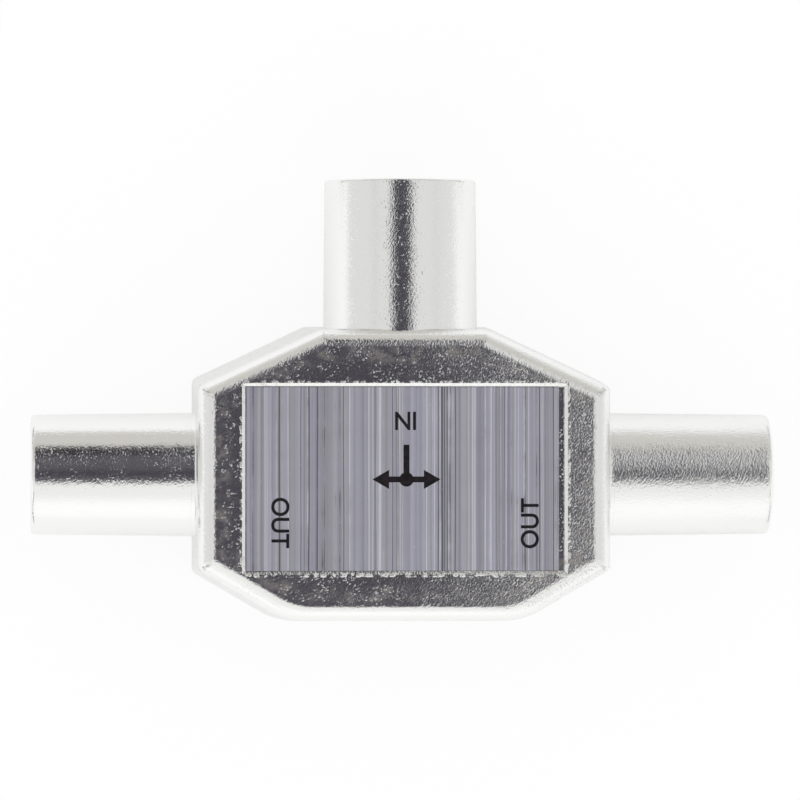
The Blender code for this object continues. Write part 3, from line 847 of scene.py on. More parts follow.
def finish_shape(piece: Object, angle: float = 30.0) -> None:
    """Cleans the mesh, shades it smooth and keeps flats flat.

    Args:
        piece: The piece.
        angle: The angle in degrees above which an edge stays sharp.
    """
    with editing(piece):
        bpy.ops.mesh.select_all(action="SELECT")
        bpy.ops.mesh.remove_doubles(threshold=MERGE)
        bpy.ops.mesh.normals_make_consistent(inside=False)
    bpy.ops.object.shade_smooth_by_angle(angle=math.radians(angle))
    apply_modifier(piece, "WEIGHTED_NORMAL", {"mode": "FACE_AREA", "keep_sharp": True})


def arc(centre: Point, radius: float, start: float, end: float, steps: int) -> Profile:
    """Points on an arc.

    Args:
        centre: Its centre.
        radius: Its radius.
        start: The first angle, in degrees.
        end: The last angle.
        steps: How many chords it has.

    Returns:
        The points in order.
    """
    angles = [math.radians(start + (end - start) * step / steps) for step in range(steps + 1)]
    return [(centre[0] + radius * math.cos(a), centre[1] + radius * math.sin(a)) for a in angles]


def turned(
    name: str, profile: Profile, place: Matrix, steps: int, through: bool = False
) -> Object:
    """A piece turned about Z: a disc that is extruded and scaled from point to point.

    Args:
        name: Its name.
        profile: Radius and height of each point, from one end round to the other.
        place: Where the turned axis goes.
        steps: Facets in a turn.
        through: Whether a hole runs from the first point to the last.

    Returns:
        The closed piece.
    """
    (radius, height), *rest = profile
    deselect()
    fill = "NOTHING" if through else "NGON"
    bpy.ops.mesh.primitive_circle_add(vertices=steps, radius=radius, fill_type=fill)
    piece = bpy.context.object
    piece.name = piece.data.name = name
    with editing(piece):
        bpy.ops.mesh.select_all(action="SELECT")
        bpy.ops.transform.translate(value=(0.0, 0.0, height))
        for wider, higher in rest:
            move = {"value": (0.0, 0.0, higher - height)}
            bpy.ops.mesh.extrude_region_move(TRANSFORM_OT_translate=move)
            share = wider / radius
            centre = (0.0, 0.0, higher)
            bpy.ops.transform.resize(value=(share, share, 1.0), center_override=centre)
            radius, height = wider, higher
        if through:
            select_edges(piece, lambda edge: edge.is_boundary)
            bpy.ops.mesh.bridge_edge_loops()
        bpy.ops.mesh.select_all(action="SELECT")
        bpy.ops.mesh.normals_make_consistent(inside=False)
    piece.data.transform(place)
    return piece


def sawn_block(
    name: str, bottom: Sequence[Vector], low: float, top: Sequence[Vector], high: float
) -> Object:
    """A cube cut down by one leaning plane a side.

    Args:
        name: Its name.
        bottom: The outline at the low end, counter-clockwise.
        low: The height of the low end.
        top: The outline at the high end, with as many corners.
        high: The height of the high end.

    Returns:
        The closed block.
    """
    reach = 2.0 * max(max(abs(point.x), abs(point.y)) for point in [*bottom, *top]) + MM
    deselect()
    bpy.ops.mesh.primitive_cube_add(
        size=1.0, location=(0.0, 0.0, (low + high) / 2), scale=(reach, reach, high - low)
    )
    piece = bpy.context.object
    piece.name = piece.data.name = name
    bpy.ops.object.transform_apply(location=True, rotation=False, scale=True)
    sides = zip(bottom, [*bottom[1:], bottom[0]], top, [*top[1:], top[0]])
    with editing(piece):
        for start, end, start_above, end_above in sides:
            foot = Vector((*((start + end) / 2), low))
            head = Vector((*((start_above + end_above) / 2), high))
            outward = Vector((*(end - start), 0.0)).cross(head - foot).normalized()
            cut = {"plane_co": foot, "plane_no": outward, "threshold": SAWN}
            bpy.ops.mesh.select_all(action="SELECT")
            bpy.ops.mesh.bisect(**cut, use_fill=True, clear_outer=True)
    return piece


def shrink(outline: Sequence[Vector], distance: float) -> list[Vector]:
    """A convex outline with every side moved in.

    Args:
        outline: Its corners, counter-clockwise.
        distance: How far each side moves.

    Returns:
        The new corners.
    """
    moved = []
    for index, corner in enumerate(outline):
        before = corner - outline[index - 1]
        after = outline[(index + 1) % len(outline)] - corner
        normal_before = Vector((-before.y, before.x)).normalized()
        normal_after = Vector((-after.y, after.x)).normalized()
        spread = 1.0 + normal_before.dot(normal_after)
        moved.append(corner + (normal_before + normal_after) * distance / spread)
    return moved


def rectangle(width: float, height: float, centre: Point) -> list[Vector]:
    """The corners of a rectangle, counter-clockwise."""
    signs = ((-1, -1), (1, -1), (1, 1), (-1, 1))
    return [Vector((centre[0] + sx * width / 2, centre[1] + sy * height / 2)) for sx, sy in signs]


def hand_over(piece: Object, material: Material, slot: str, *nodes: str) -> None:
    """Dresses a finished piece and puts it in the place of its nodes.

    Args:
        piece: The finished piece.
        material: Its finish.
        slot: The record's material slot; it is not used.
        nodes: The solids that it stands for.
    """
    piece.data.materials.clear()
    piece.data.materials.append(material)
    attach(piece, "root")
    if nodes:
        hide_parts(*nodes)
    stands_for = ", ".join(nodes) or "no node"
    LOG.info("%s: %d faces, for %s", piece.name, len(piece.data.polygons), stands_for)


# Pieces.


@dataclass(frozen=True)
class Port:
    """A connector's axis, with its origin on the wall's outer face."""

    distance: float
    heading: float
    height: float = 7.0 * MM

    def matrix(self) -> Matrix:
        """Turns +Z out along the axis and +Y to the label side.

        Returns:
            The matrix.
        """
        angle = math.radians(self.heading)
        where = Vector((math.cos(angle), math.sin(angle), 0.0)) * self.distance
        where.z = self.height
        turn = Matrix.Rotation(math.pi / 2 + angle, 4, "Z") @ Matrix.Rotation(math.pi / 2, 4, "X")
        return Matrix.Translation(where) @ turn


@dataclass(frozen=True)
class Sleeve:
    """The outer conductor of a connector: a tapered tube cast on the housing."""

    name: str
    port: Port
    length: float
    root: float
    tip: float
    bore: float
    lip: float
    mouth: float
    fillet: float
    foot: float
    seat: float = 0.5 * MM
    bore_draft: float = 0.04 * MM
    spigot: float = 2.3 * MM
    wall: float = 1.7 * MM
    guard: float = 0.25 * MM
    overcut: float = 1.0 * MM
    steps: int = 160
    fillet_steps: int = 6
    lip_steps: int = 8

    def outside(self) -> Object:
        """The solid that its outer surface bounds, a ring of faces beside each round.

        Returns:
            The closed piece.
        """
        root = self.root + self.fillet
        centre = (root, self.foot + self.fillet)
        profile = [(root, -self.wall)]
        profile += arc(centre, self.fillet, 270, 180, self.fillet_steps)
        last = self.length - self.lip
        for height in (profile[-1][1] + self.guard, self.guard, last - self.guard):
            share = height / self.length
            profile.append((self.root + (self.tip - self.root) * share, height))
        profile += arc((self.tip - self.lip, last), self.lip, 0, 90, self.lip_steps)
        return turned(f"{self.name}_outside", profile, self.port.matrix(), self.steps)

    def inside(self) -> Object:
        """The space of its bore, its seat and the hole through the wall.

        Returns:
            The closed piece.
        """
        wide = self.mouth + self.overcut
        profile = [
            (self.spigot, -self.wall - self.overcut),
            (self.spigot, -self.seat),
            (self.bore - self.bore_draft, -self.seat),
            (self.bore, self.length - self.mouth),
            (self.bore + wide, self.length + self.overcut),
        ]
        return turned(f"{self.name}_inside", profile, self.port.matrix(), self.steps)


def splitter_sleeves() -> tuple[Sleeve, ...]:
    """The sleeves of the splitter.

    Returns:
        The socket, the left plug and the right plug.
    """
    socket = Sleeve(
        name="in",
        port=Port(11.55 * MM, 90.0),
        length=11.6 * MM,
        root=6.06 * MM,
        tip=5.96 * MM,
        bore=4.85 * MM,
        lip=0.2 * MM,
        mouth=0.35 * MM,
        fillet=0.22 * MM,
        foot=-0.55 * MM,
    )
    plugs = [
        Sleeve(
            name=name,
            port=Port(16.175 * MM, heading),
            length=12.925 * MM,
            root=4.84 * MM,
            tip=4.7 * MM,
            bore=4.0 * MM,
            lip=0.38 * MM,
            mouth=0.12 * MM,
            fillet=0.15 * MM,
            foot=0.0,
        )
        for name, heading in (("out_left", 180.0), ("out_right", 0.0))
    ]
    return (socket, *plugs)


@dataclass(frozen=True)
class Outline:
    """The eight-sided section of the housing, which shrinks with height by the casting's draft."""

    depth: float = 14.0 * MM
    half_width: float = 16.25 * MM
    half_height: float = 11.75 * MM
    top_flat: float = 7.3 * MM
    top_drop: float = 4.2 * MM
    bottom_flat: float = 9.5 * MM
    bottom_rise: float = 3.95 * MM
    side_draft: float = 0.15 * MM
    end_draft: float = 0.4 * MM
    top_lean: float = 0.8 * MM
    bottom_lean: float = 0.3 * MM

    def chamfers(self) -> list[tuple[Vector, Vector]]:
        """Where the two right chamfers lie on the face.

        Returns:
            The outward direction and one corner of the top and of the bottom chamfer.
        """
        corners = self.at(self.depth)
        top = Vector((self.top_drop, self.half_width - self.top_flat))
        bottom = Vector((self.bottom_rise, self.bottom_flat - self.half_width))
        return [(top.normalized(), corners[3]), (bottom.normalized(), corners[0])]

    def bottom_slope(self) -> float:
        """How steep a bottom chamfer runs: the sine of its angle."""
        run = self.half_width - self.bottom_flat
        return self.bottom_rise / math.hypot(self.bottom_rise, run)

    def at(self, height: float, inset: float = 0.0) -> list[Vector]:
        """Its corners at a height.

        Args:
            height: The height.
            inset: How far every side is moved in.

        Returns:
            The corners, counter-clockwise.
        """
        share = height / self.depth
        side = self.half_width - self.side_draft * share
        end = self.half_height - self.end_draft * share
        slope = self.top_drop / (self.half_width - self.top_flat)
        top_corner = end - self.top_drop - self.top_lean * share * slope
        right = [
            Vector((self.bottom_flat - self.bottom_lean * share, -end)),
            Vector((side, self.bottom_rise - end)),
            Vector((side, top_corner)),
            Vector((self.top_flat - self.top_lean * share, end)),
        ]
        left = [Vector((-corner.x, corner.y)) for corner in reversed(right)]
        return shrink(right + left, inset)


@dataclass(frozen=True)
class Casting:
    """The one-piece housing: block, sleeves, cavity, cover ledge, label pocket and board posts."""

    outline: Outline = Outline()
    sleeves: tuple[Sleeve, ...] = splitter_sleeves()
    rim: float = 1.5 * MM
    bottom_rim: float = 1.2 * MM
    rim_steps: int = 12
    top_corner: float = 0.15 * MM
    side_corner: float = 0.35 * MM
    bottom_corner: float = 1.4 * MM
    corner_steps: int = 8
    inner_corner: float = 0.8 * MM
    wall: float = 1.7 * MM
    front_wall: float = 1.6 * MM
    cavity_fillet: float = 0.6 * MM
    cavity_steps: int = 4
    ledge: float = 0.8 * MM
    ledge_depth: float = 0.87 * MM
    seat_steps: int = 6
    pocket_width: float = 25.4 * MM
    pocket_height: float = 14.9 * MM
    pocket_depth: float = 0.25 * MM
    pocket_edge: float = 0.25 * MM
    pocket_edge_depth: float = 0.11 * MM
    pocket_drop: float = 0.3 * MM
    board_front: float = 8.7 * MM
    board_back: float = 7.7 * MM
    board_gap: float = 0.05 * MM
    post: float = 1.3 * MM
    plain_posts: tuple[Point, ...] = ((-8.6 * MM, 5.2 * MM), (8.6 * MM, 5.2 * MM))
    wall_over_post: float = 2 / 3
    peg: float = 0.7 * MM
    peg_proud: float = 0.9 * MM
    pegged_posts: tuple[Point, ...] = ((-9.5 * MM, -5.5 * MM), (9.5 * MM, -5.5 * MM))
    post_steps: int = 32
    overcut: float = 1.0 * MM
    sharp_from: float = 18.0

    def build(self, material: Material) -> None:
        """Models the casting and hands it over.

        Args:
            material: Its finish.
        """
        casting = self.block()
        for sleeve in self.sleeves:
            combine(casting, sleeve.outside(), Operation.JOIN)
        for cutter in self.cutters():
            combine(casting, cutter, Operation.CUT)
        for post in self.posts():
            combine(casting, post, Operation.JOIN)
        finish_shape(casting, self.sharp_from)
        hand_over(casting, material, "nickel_casting", "housing")

    def is_bottom_corner(self, point: Vector) -> bool:
        """Whether a point lies by one of the two corners at the bottom side's ends."""
        return point.y < self.outline.bottom_rise / 2 - self.outline.half_height

    def rim_radius(self, start: Vector, end: Vector) -> float:
        """The rim's radius along an edge of the outline, tighter the flatter a low edge runs.

        Args:
            start: One end of the edge.
            end: The other end.

        Returns:
            The radius.
        """
        if start.y > 0.0:
            return self.rim
        slope = abs((end - start).normalized().y)
        share = min(1.0, slope / self.outline.bottom_slope())
        return self.bottom_rim + (self.rim - self.bottom_rim) * share

    def corner_setback(self, point: Vector) -> float:
        """The setback of an upright corner's rounding, none where it is round already.

        Args:
            point: A point of the corner.

        Returns:
            The setback.
        """
        if self.is_bottom_corner(point):
            return 0.0
        outside = abs(point.x) > (self.outline.top_flat + self.outline.half_width) / 2
        return self.side_corner if outside else self.top_corner

    def block(self) -> Object:
        """The block, its bottom corners rounded first, then its rim and its other corners.

        Returns:
            The closed block.
        """
        depth = self.outline.depth
        block = sawn_block(
            "housing_casting", self.outline.at(0.0), 0.0, self.outline.at(depth), depth
        )
        with editing(block):
            select_edges(
                block, lambda edge: is_upright(edge) and self.is_bottom_corner(edge.verts[0].co)
            )
            round_edges(self.bottom_corner, self.corner_steps)
        widest = max(self.rim, self.bottom_rim)
        weights = block.data.attributes.new("bevel_weight_edge", "FLOAT", "EDGE")
        for edge in block.data.edges:
            start, end = (block.data.vertices[index].co for index in edge.vertices)
            if min(start.z, end.z) > depth / 2:
                weights.data[edge.index].value = self.rim_radius(start, end) / widest
            elif max(start.z, end.z) > depth / 2:
                weights.data[edge.index].value = self.corner_setback(start) / widest
        settings = {"limit_method": "WEIGHT", "width": widest, "segments": self.rim_steps}
        apply_modifier(block, "BEVEL", {**settings, "use_clamp_overlap": False})
        return block

    def cutters(self) -> list[Object]:
        """What is cut from the block: cavity, cover seat, label pocket and bores.

        Returns:
            The closed cutters.
        """
        top = self.outline.depth - self.front_wall
        inner_low = self.outline.at(0.0, self.wall)
        inner_high = self.outline.at(top, self.wall)
        cavity = sawn_block("cavity", inner_low, -self.overcut, inner_high, top)
        with editing(cavity):
            select_edges(cavity, is_upright)
            round_edges(self.inner_corner, self.cavity_steps)
            select_edges(cavity, lambda edge: is_above(edge, top))
            round_edges(self.cavity_fillet, self.cavity_steps)
        ledge = self.outline.at(0.0, self.wall - self.ledge)
        seat = sawn_block("cover_seat", ledge, -self.overcut, ledge, self.ledge_depth)
        with editing(seat):
            select_edges(seat, is_upright)
            round_edges(self.inner_corner, self.seat_steps)
        return [cavity, seat, *self.pocket(), *(sleeve.inside() for sleeve in self.sleeves)]

    def pocket(self) -> list[Object]:
        """The space of the label's shallow recess, and of the slanted edge round it.

        Returns:
            The two closed cutters. The second one goes on as far above the face as below it.
        """
        centre = (0.0, -self.pocket_drop)
        edge, deep = 2 * self.pocket_edge, self.pocket_edge_depth
        sides = rectangle(self.pocket_width - edge, self.pocket_height - edge, centre)
        outer = rectangle(self.pocket_width + edge, self.pocket_height + edge, centre)
        face = self.outline.depth
        floor = face - self.pocket_depth
        well = sawn_block("label_pocket", sides, floor, sides, face + self.overcut)
        slant = sawn_block("pocket_edge", sides, face - deep, outer, face + deep)
        return [well, slant]

    def posts(self) -> list[Object]:
        """The four posts that carry the board, sunk in the front wall, two of them with a peg.

        Returns:
            The closed posts.
        """
        foot = self.outline.depth - self.front_wall * self.wall_over_post
        shoulder = self.board_front + self.board_gap
        plain = [(self.post, foot), (self.post, shoulder)]
        pegged = [*plain, (self.peg, shoulder), (self.peg, self.board_back - self.peg_proud)]
        return [
            turned("board_post", profile, Matrix.Translation((x, y, 0.0)), self.post_steps)
            for profile, places in ((plain, self.plain_posts), (pegged, self.pegged_posts))
            for x, y in places
        ]


@dataclass(frozen=True)
class BackCover:
    """The sheet pressed flush into the open back, its edge rounded by the punch."""

    outline: Outline = Outline()
    inset: float = 0.97 * MM
    thickness: float = 0.8 * MM
    corner: float = 0.8 * MM
    corner_steps: int = 8
    edge: float = 0.15 * MM
    edge_steps: int = 4
    sharp_from: float = 40.0

    def build(self, material: Material) -> None:
        """Models the cover and hands it over.

        Args:
            material: Its finish.
        """
        sides = self.outline.at(0.0, self.inset)
        cover = sawn_block("back_cover_sheet", sides, 0.0, sides, self.thickness)
        with editing(cover):
            select_edges(cover, is_upright)
            round_edges(self.corner, self.corner_steps)
            select_edges(cover, lambda edge: not is_upright(edge))
            round_edges(self.edge, self.edge_steps)
        finish_shape(cover, self.sharp_from)
        hand_over(cover, material, "nickel_sheet", "back_cover")


@dataclass(frozen=True)
class Insulator:
    """The moulded disc at the bottom of a bore, with its hub and the spigot through the wall."""

    sleeve: Sleeve
    hub: float
    hole: float = 0.65 * MM
    fit: float = 0.05 * MM
    thickness: float = 2.2 * MM
    hub_height: float = 0.6 * MM
    spigot_proud: float = 0.3 * MM
    edge: float = 0.08 * MM
    edge_steps: int = 3
    steps: int = 128

    def build(self, material: Material) -> None:
        """Models the insulator and hands it over.

        Args:
            material: Its finish.
        """
        tube = self.sleeve
        back = -tube.seat + self.fit
        front = back + self.thickness
        disc = tube.bore - tube.bore_draft - self.fit
        spigot = tube.spigot - self.fit
        end = -tube.wall - self.spigot_proud
        top = front + self.hub_height
        profile = [(self.hole, end), (spigot, end), (spigot, back), (disc, back)]
        edge, steps = self.edge, self.edge_steps
        profile += arc((disc - edge, front - edge), edge, 0, 90, steps)
        profile += [(self.hub, front), *arc((self.hub - edge, top - edge), edge, 0, 90, steps)]
        profile += [(self.hole, top)]
        name = f"{tube.name}_insulator_disc"
        piece = turned(name, profile, tube.port.matrix(), self.steps, through=True)
        finish_shape(piece)
        hand_over(piece, material, "insulator_plastic", f"{tube.name}_insulator")


@dataclass(frozen=True)
class CentreContact:
    """What the two kinds of centre contact share: a tail on the board and a shoulder."""

    sleeve: Sleeve
    radius: float
    recess: float
    tail: float = 0.6 * MM
    tail_reach: float = 3.4 * MM
    shoulder: float = 2.4 * MM
    edge: float = 0.1 * MM
    steps: int = 96

    def foot(self) -> Profile:
        """The points of the tail and the shoulder."""
        end = -self.sleeve.wall - self.tail_reach
        return [
            (self.tail - self.edge, end),
            (self.tail, end + self.edge),
            (self.tail, self.shoulder),
            (self.radius, self.shoulder),
        ]


@dataclass(frozen=True)
class PlugPin(CentreContact):
    """A plug's solid pin with its rounded nose."""

    nose: float = 0.8 * MM
    nose_steps: int = 10

    def build(self, material: Material) -> None:
        """Models the pin and hands it over.

        Args:
            material: Its finish.
        """
        tip = self.sleeve.length - self.recess
        centre = (self.radius - self.nose, tip - self.nose)
        profile = self.foot() + arc(centre, self.nose, 0, 90, self.nose_steps)
        name = f"{self.sleeve.name}_centre_pin"
        piece = turned(name, profile, self.sleeve.port.matrix(), self.steps)
        finish_shape(piece)
        hand_over(piece, material, "contact_metal", f"{self.sleeve.name}_pin")


@dataclass(frozen=True)
class SlottedContact(CentreContact):
    """The socket's tube, slit into four fingers that grip a plug's pin."""

    bore: float = 1.22 * MM
    bore_depth: float = 7.2 * MM
    lip: float = 0.2 * MM
    lip_steps: int = 5
    slot: float = 0.4 * MM
    slot_depth: float = 6.0 * MM
    overcut: float = 1.0 * MM

    def build(self, material: Material) -> None:
        """Models the tube, cuts its slots and hands it over.

        Args:
            material: Its finish.
        """
        top = self.sleeve.length - self.recess
        profile = self.foot()
        centre = (self.radius - self.lip, top - self.lip)
        profile += arc(centre, self.lip, 0, 90, self.lip_steps)
        profile += [
            (self.bore + self.lip, top),
            (self.bore, top - self.lip),
            (self.bore, top - self.bore_depth),
        ]
        place = self.sleeve.port.matrix()
        piece = turned("in_centre_contact", profile, place, self.steps)
        across = self.radius + self.overcut
        for wide, tall in ((self.slot / 2, across), (across, self.slot / 2)):
            outline = rectangle(2 * wide, 2 * tall, (0.0, 0.0))
            low, high = top - self.slot_depth, top + self.overcut
            slit = sawn_block("contact_slit", outline, low, outline, high)
            slit.data.transform(place)
            combine(piece, slit, Operation.CUT)
        finish_shape(piece)
        hand_over(piece, material, "contact_metal", "in_contact")


class Word(Enum):
    """The plain words that name the ports."""

    IN = "IN"
    OUT = "OUT"


@dataclass(frozen=True)
class Mark:
    """A word on the label: where its middle lies, how it is turned, and how wide it is set."""

    name: str
    word: Word
    centre: Point
    turn: float
    width: float
    height: float = 1.42 * MM


@dataclass(frozen=True)
class BranchSign:
    """A line from the socket's side that branches at a dot into two arrows."""

    centre: Point = (0.1 * MM, 0.75 * MM)
    stroke: float = 0.46 * MM
    half_width: float = 2.65 * MM
    line_length: float = 2.7 * MM
    arrow: float = 0.86 * MM
    arrow_corners: int = 3
    node: float = 0.56 * MM
    dot_corners: int = 48
    drop: float = 1.1 * MM

    def build(self, low: float, thickness: float) -> Object:
        """Models the sign as one flat solid.

        Args:
            low: The height of its underside.
            thickness: How thick it is.

        Returns:
            The closed piece.
        """
        x, y = self.centre[0], self.centre[1] - self.drop
        middle = low + thickness / 2
        arm = self.half_width - self.arrow
        sign = self.bar((x, y, middle), (2 * arm, self.stroke, thickness))
        sign.name = sign.data.name = "mark_branch"
        line = (self.stroke, self.line_length, thickness)
        combine(sign, self.bar((x, y + self.line_length / 2, middle), line), Operation.JOIN)
        for side, turn in ((-1, math.pi), (1, 0.0)):
            place = (x + side * arm, y, middle)
            head = self.disc(place, self.arrow, thickness, self.arrow_corners, turn)
            combine(sign, head, Operation.JOIN)
        dot = self.disc((x, y, middle), self.node, thickness, self.dot_corners, 0.0)
        combine(sign, dot, Operation.JOIN)
        return sign

    @staticmethod
    def bar(place: Sequence[float], size: Sequence[float]) -> Object:
        """A flat bar.

        Args:
            place: Its middle.
            size: Its three sizes.

        Returns:
            The closed bar.
        """
        deselect()
        bpy.ops.mesh.primitive_cube_add(size=1.0, location=place, scale=size)
        bpy.ops.object.transform_apply(location=True, rotation=False, scale=True)
        return bpy.context.object

    @staticmethod
    def disc(
        place: Sequence[float], radius: float, thickness: float, corners: int, turn: float
    ) -> Object:
        """A flat disc or polygon.

        Args:
            place: Its middle.
            radius: How far its corners lie from the middle.
            thickness: How thick it is.
            corners: How many corners it has.
            turn: How far it is turned from one corner towards +X, in radians.

        Returns:
            The closed piece.
        """
        deselect()
        bpy.ops.mesh.primitive_cylinder_add(vertices=corners, radius=radius, depth=thickness)
        piece = bpy.context.object
        corner = Matrix.Rotation(turn - math.pi / 2, 4, "Z")
        piece.data.transform(Matrix.Translation(place) @ corner)
        return piece


@dataclass(frozen=True)
class Label:
    """The brushed plate, with the ports' names and a branching sign in dark ink.

    It lies against the left wall of its pocket.
    """

    width: float = 24.4 * MM
    height: float = 14.3 * MM
    centre: Point = (-0.19 * MM, -0.3 * MM)
    back: float = 13.78 * MM
    corner: float = 0.06 * MM
    edge: float = 0.05 * MM
    edge_steps: int = 3
    surface: float = 13.9 * MM
    ink: float = 0.006 * MM
    sunk: float = 0.001 * MM
    bold: float = 0.017
    extrusion: float = 0.01
    curve_steps: int = 12
    marks: tuple[Mark, ...] = (
        Mark("mark_in", Word.IN, (0.03 * MM, 4.2 * MM), 180.0, 1.63 * MM),
        Mark("mark_out_left", Word.OUT, (-9.72 * MM, -3.73 * MM), -90.0, 3.92 * MM),
        Mark("mark_out_right", Word.OUT, (9.72 * MM, -3.77 * MM), 90.0, 3.9 * MM),
    )
    sign: BranchSign = BranchSign()

    def build(self, plate: Material, ink: Material) -> None:
        """Models the plate, hands it over and prints its marks.

        Args:
            plate: The plate's finish.
            ink: The marks' finish.
        """
        sides = rectangle(self.width, self.height, self.centre)
        sheet = sawn_block("brushed_plate", sides, self.back, sides, self.surface)
        with editing(sheet):
            select_edges(sheet, is_upright)
            round_edges(self.corner, self.edge_steps)
            select_edges(sheet, lambda edge: is_above(edge, self.surface))
            round_edges(self.edge, self.edge_steps)
        finish_shape(sheet)
        hand_over(sheet, plate, "label_plate", "label")
        for mark in self.marks:
            hand_over(self.print_word(mark), ink, "label_plate")
        sign = self.sign.build(self.surface - self.sunk, self.ink)
        hand_over(sign, ink, "label_plate")

    def print_word(self, mark: Mark) -> Object:
        """Sets a word flat on the plate.

        Args:
            mark: The word, its place, its turn and its size.

        Returns:
            The word's closed mesh.
        """
        deselect()
        bpy.ops.object.text_add()
        text = bpy.context.object
        text.name = mark.name
        text.data.body = mark.word.value
        text.data.extrude = self.extrusion
        text.data.offset = self.bold
        text.data.resolution_u = self.curve_steps
        bpy.ops.object.convert(target="MESH")
        piece = bpy.context.object
        corners = [Vector(corner) for corner in piece.bound_box]
        low, high = corners[0], corners[6]
        size = high - low
        middle = Matrix.Translation(-(low + high) / 2)
        scale = (mark.width / size.x, mark.height / size.y, self.ink / size.z, 1.0)
        spin = Matrix.Rotation(math.radians(mark.turn), 4, "Z")
        height = self.surface + self.ink / 2 - self.sunk
        put = Matrix.Translation((*mark.centre, height))
        piece.data.transform(put @ spin @ Matrix.Diagonal(scale) @ middle)
        return piece


class Circuit:
    """The board and what it carries inside the closed housing, on their own meshes."""

    FINISHES = {
        LAMINATE: ("circuit_board",),
        FERRITE: ("matching_core", "splitting_core"),
        ENAMELLED: ("matching_winding", "splitting_winding_left", "splitting_winding_right"),
        CAPACITOR: ("input_capacitor", "trimming_capacitor"),
        RESISTOR: ("balance_resistor",),
        TIN: (
            "in_solder",
            "out_left_solder",
            "out_right_solder",
            "ground_solder_left",
            "ground_solder_right",
        ),
    }

    def dress(self) -> None:
        """Gives each node its finish."""
        for finish, names in self.FINISHES.items():
            material = finish.material()
            for name in names:
                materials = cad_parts[name].data.materials
                materials.clear()
                materials.append(material)
                LOG.info("%s: %s", name, finish.name)


# Studio.


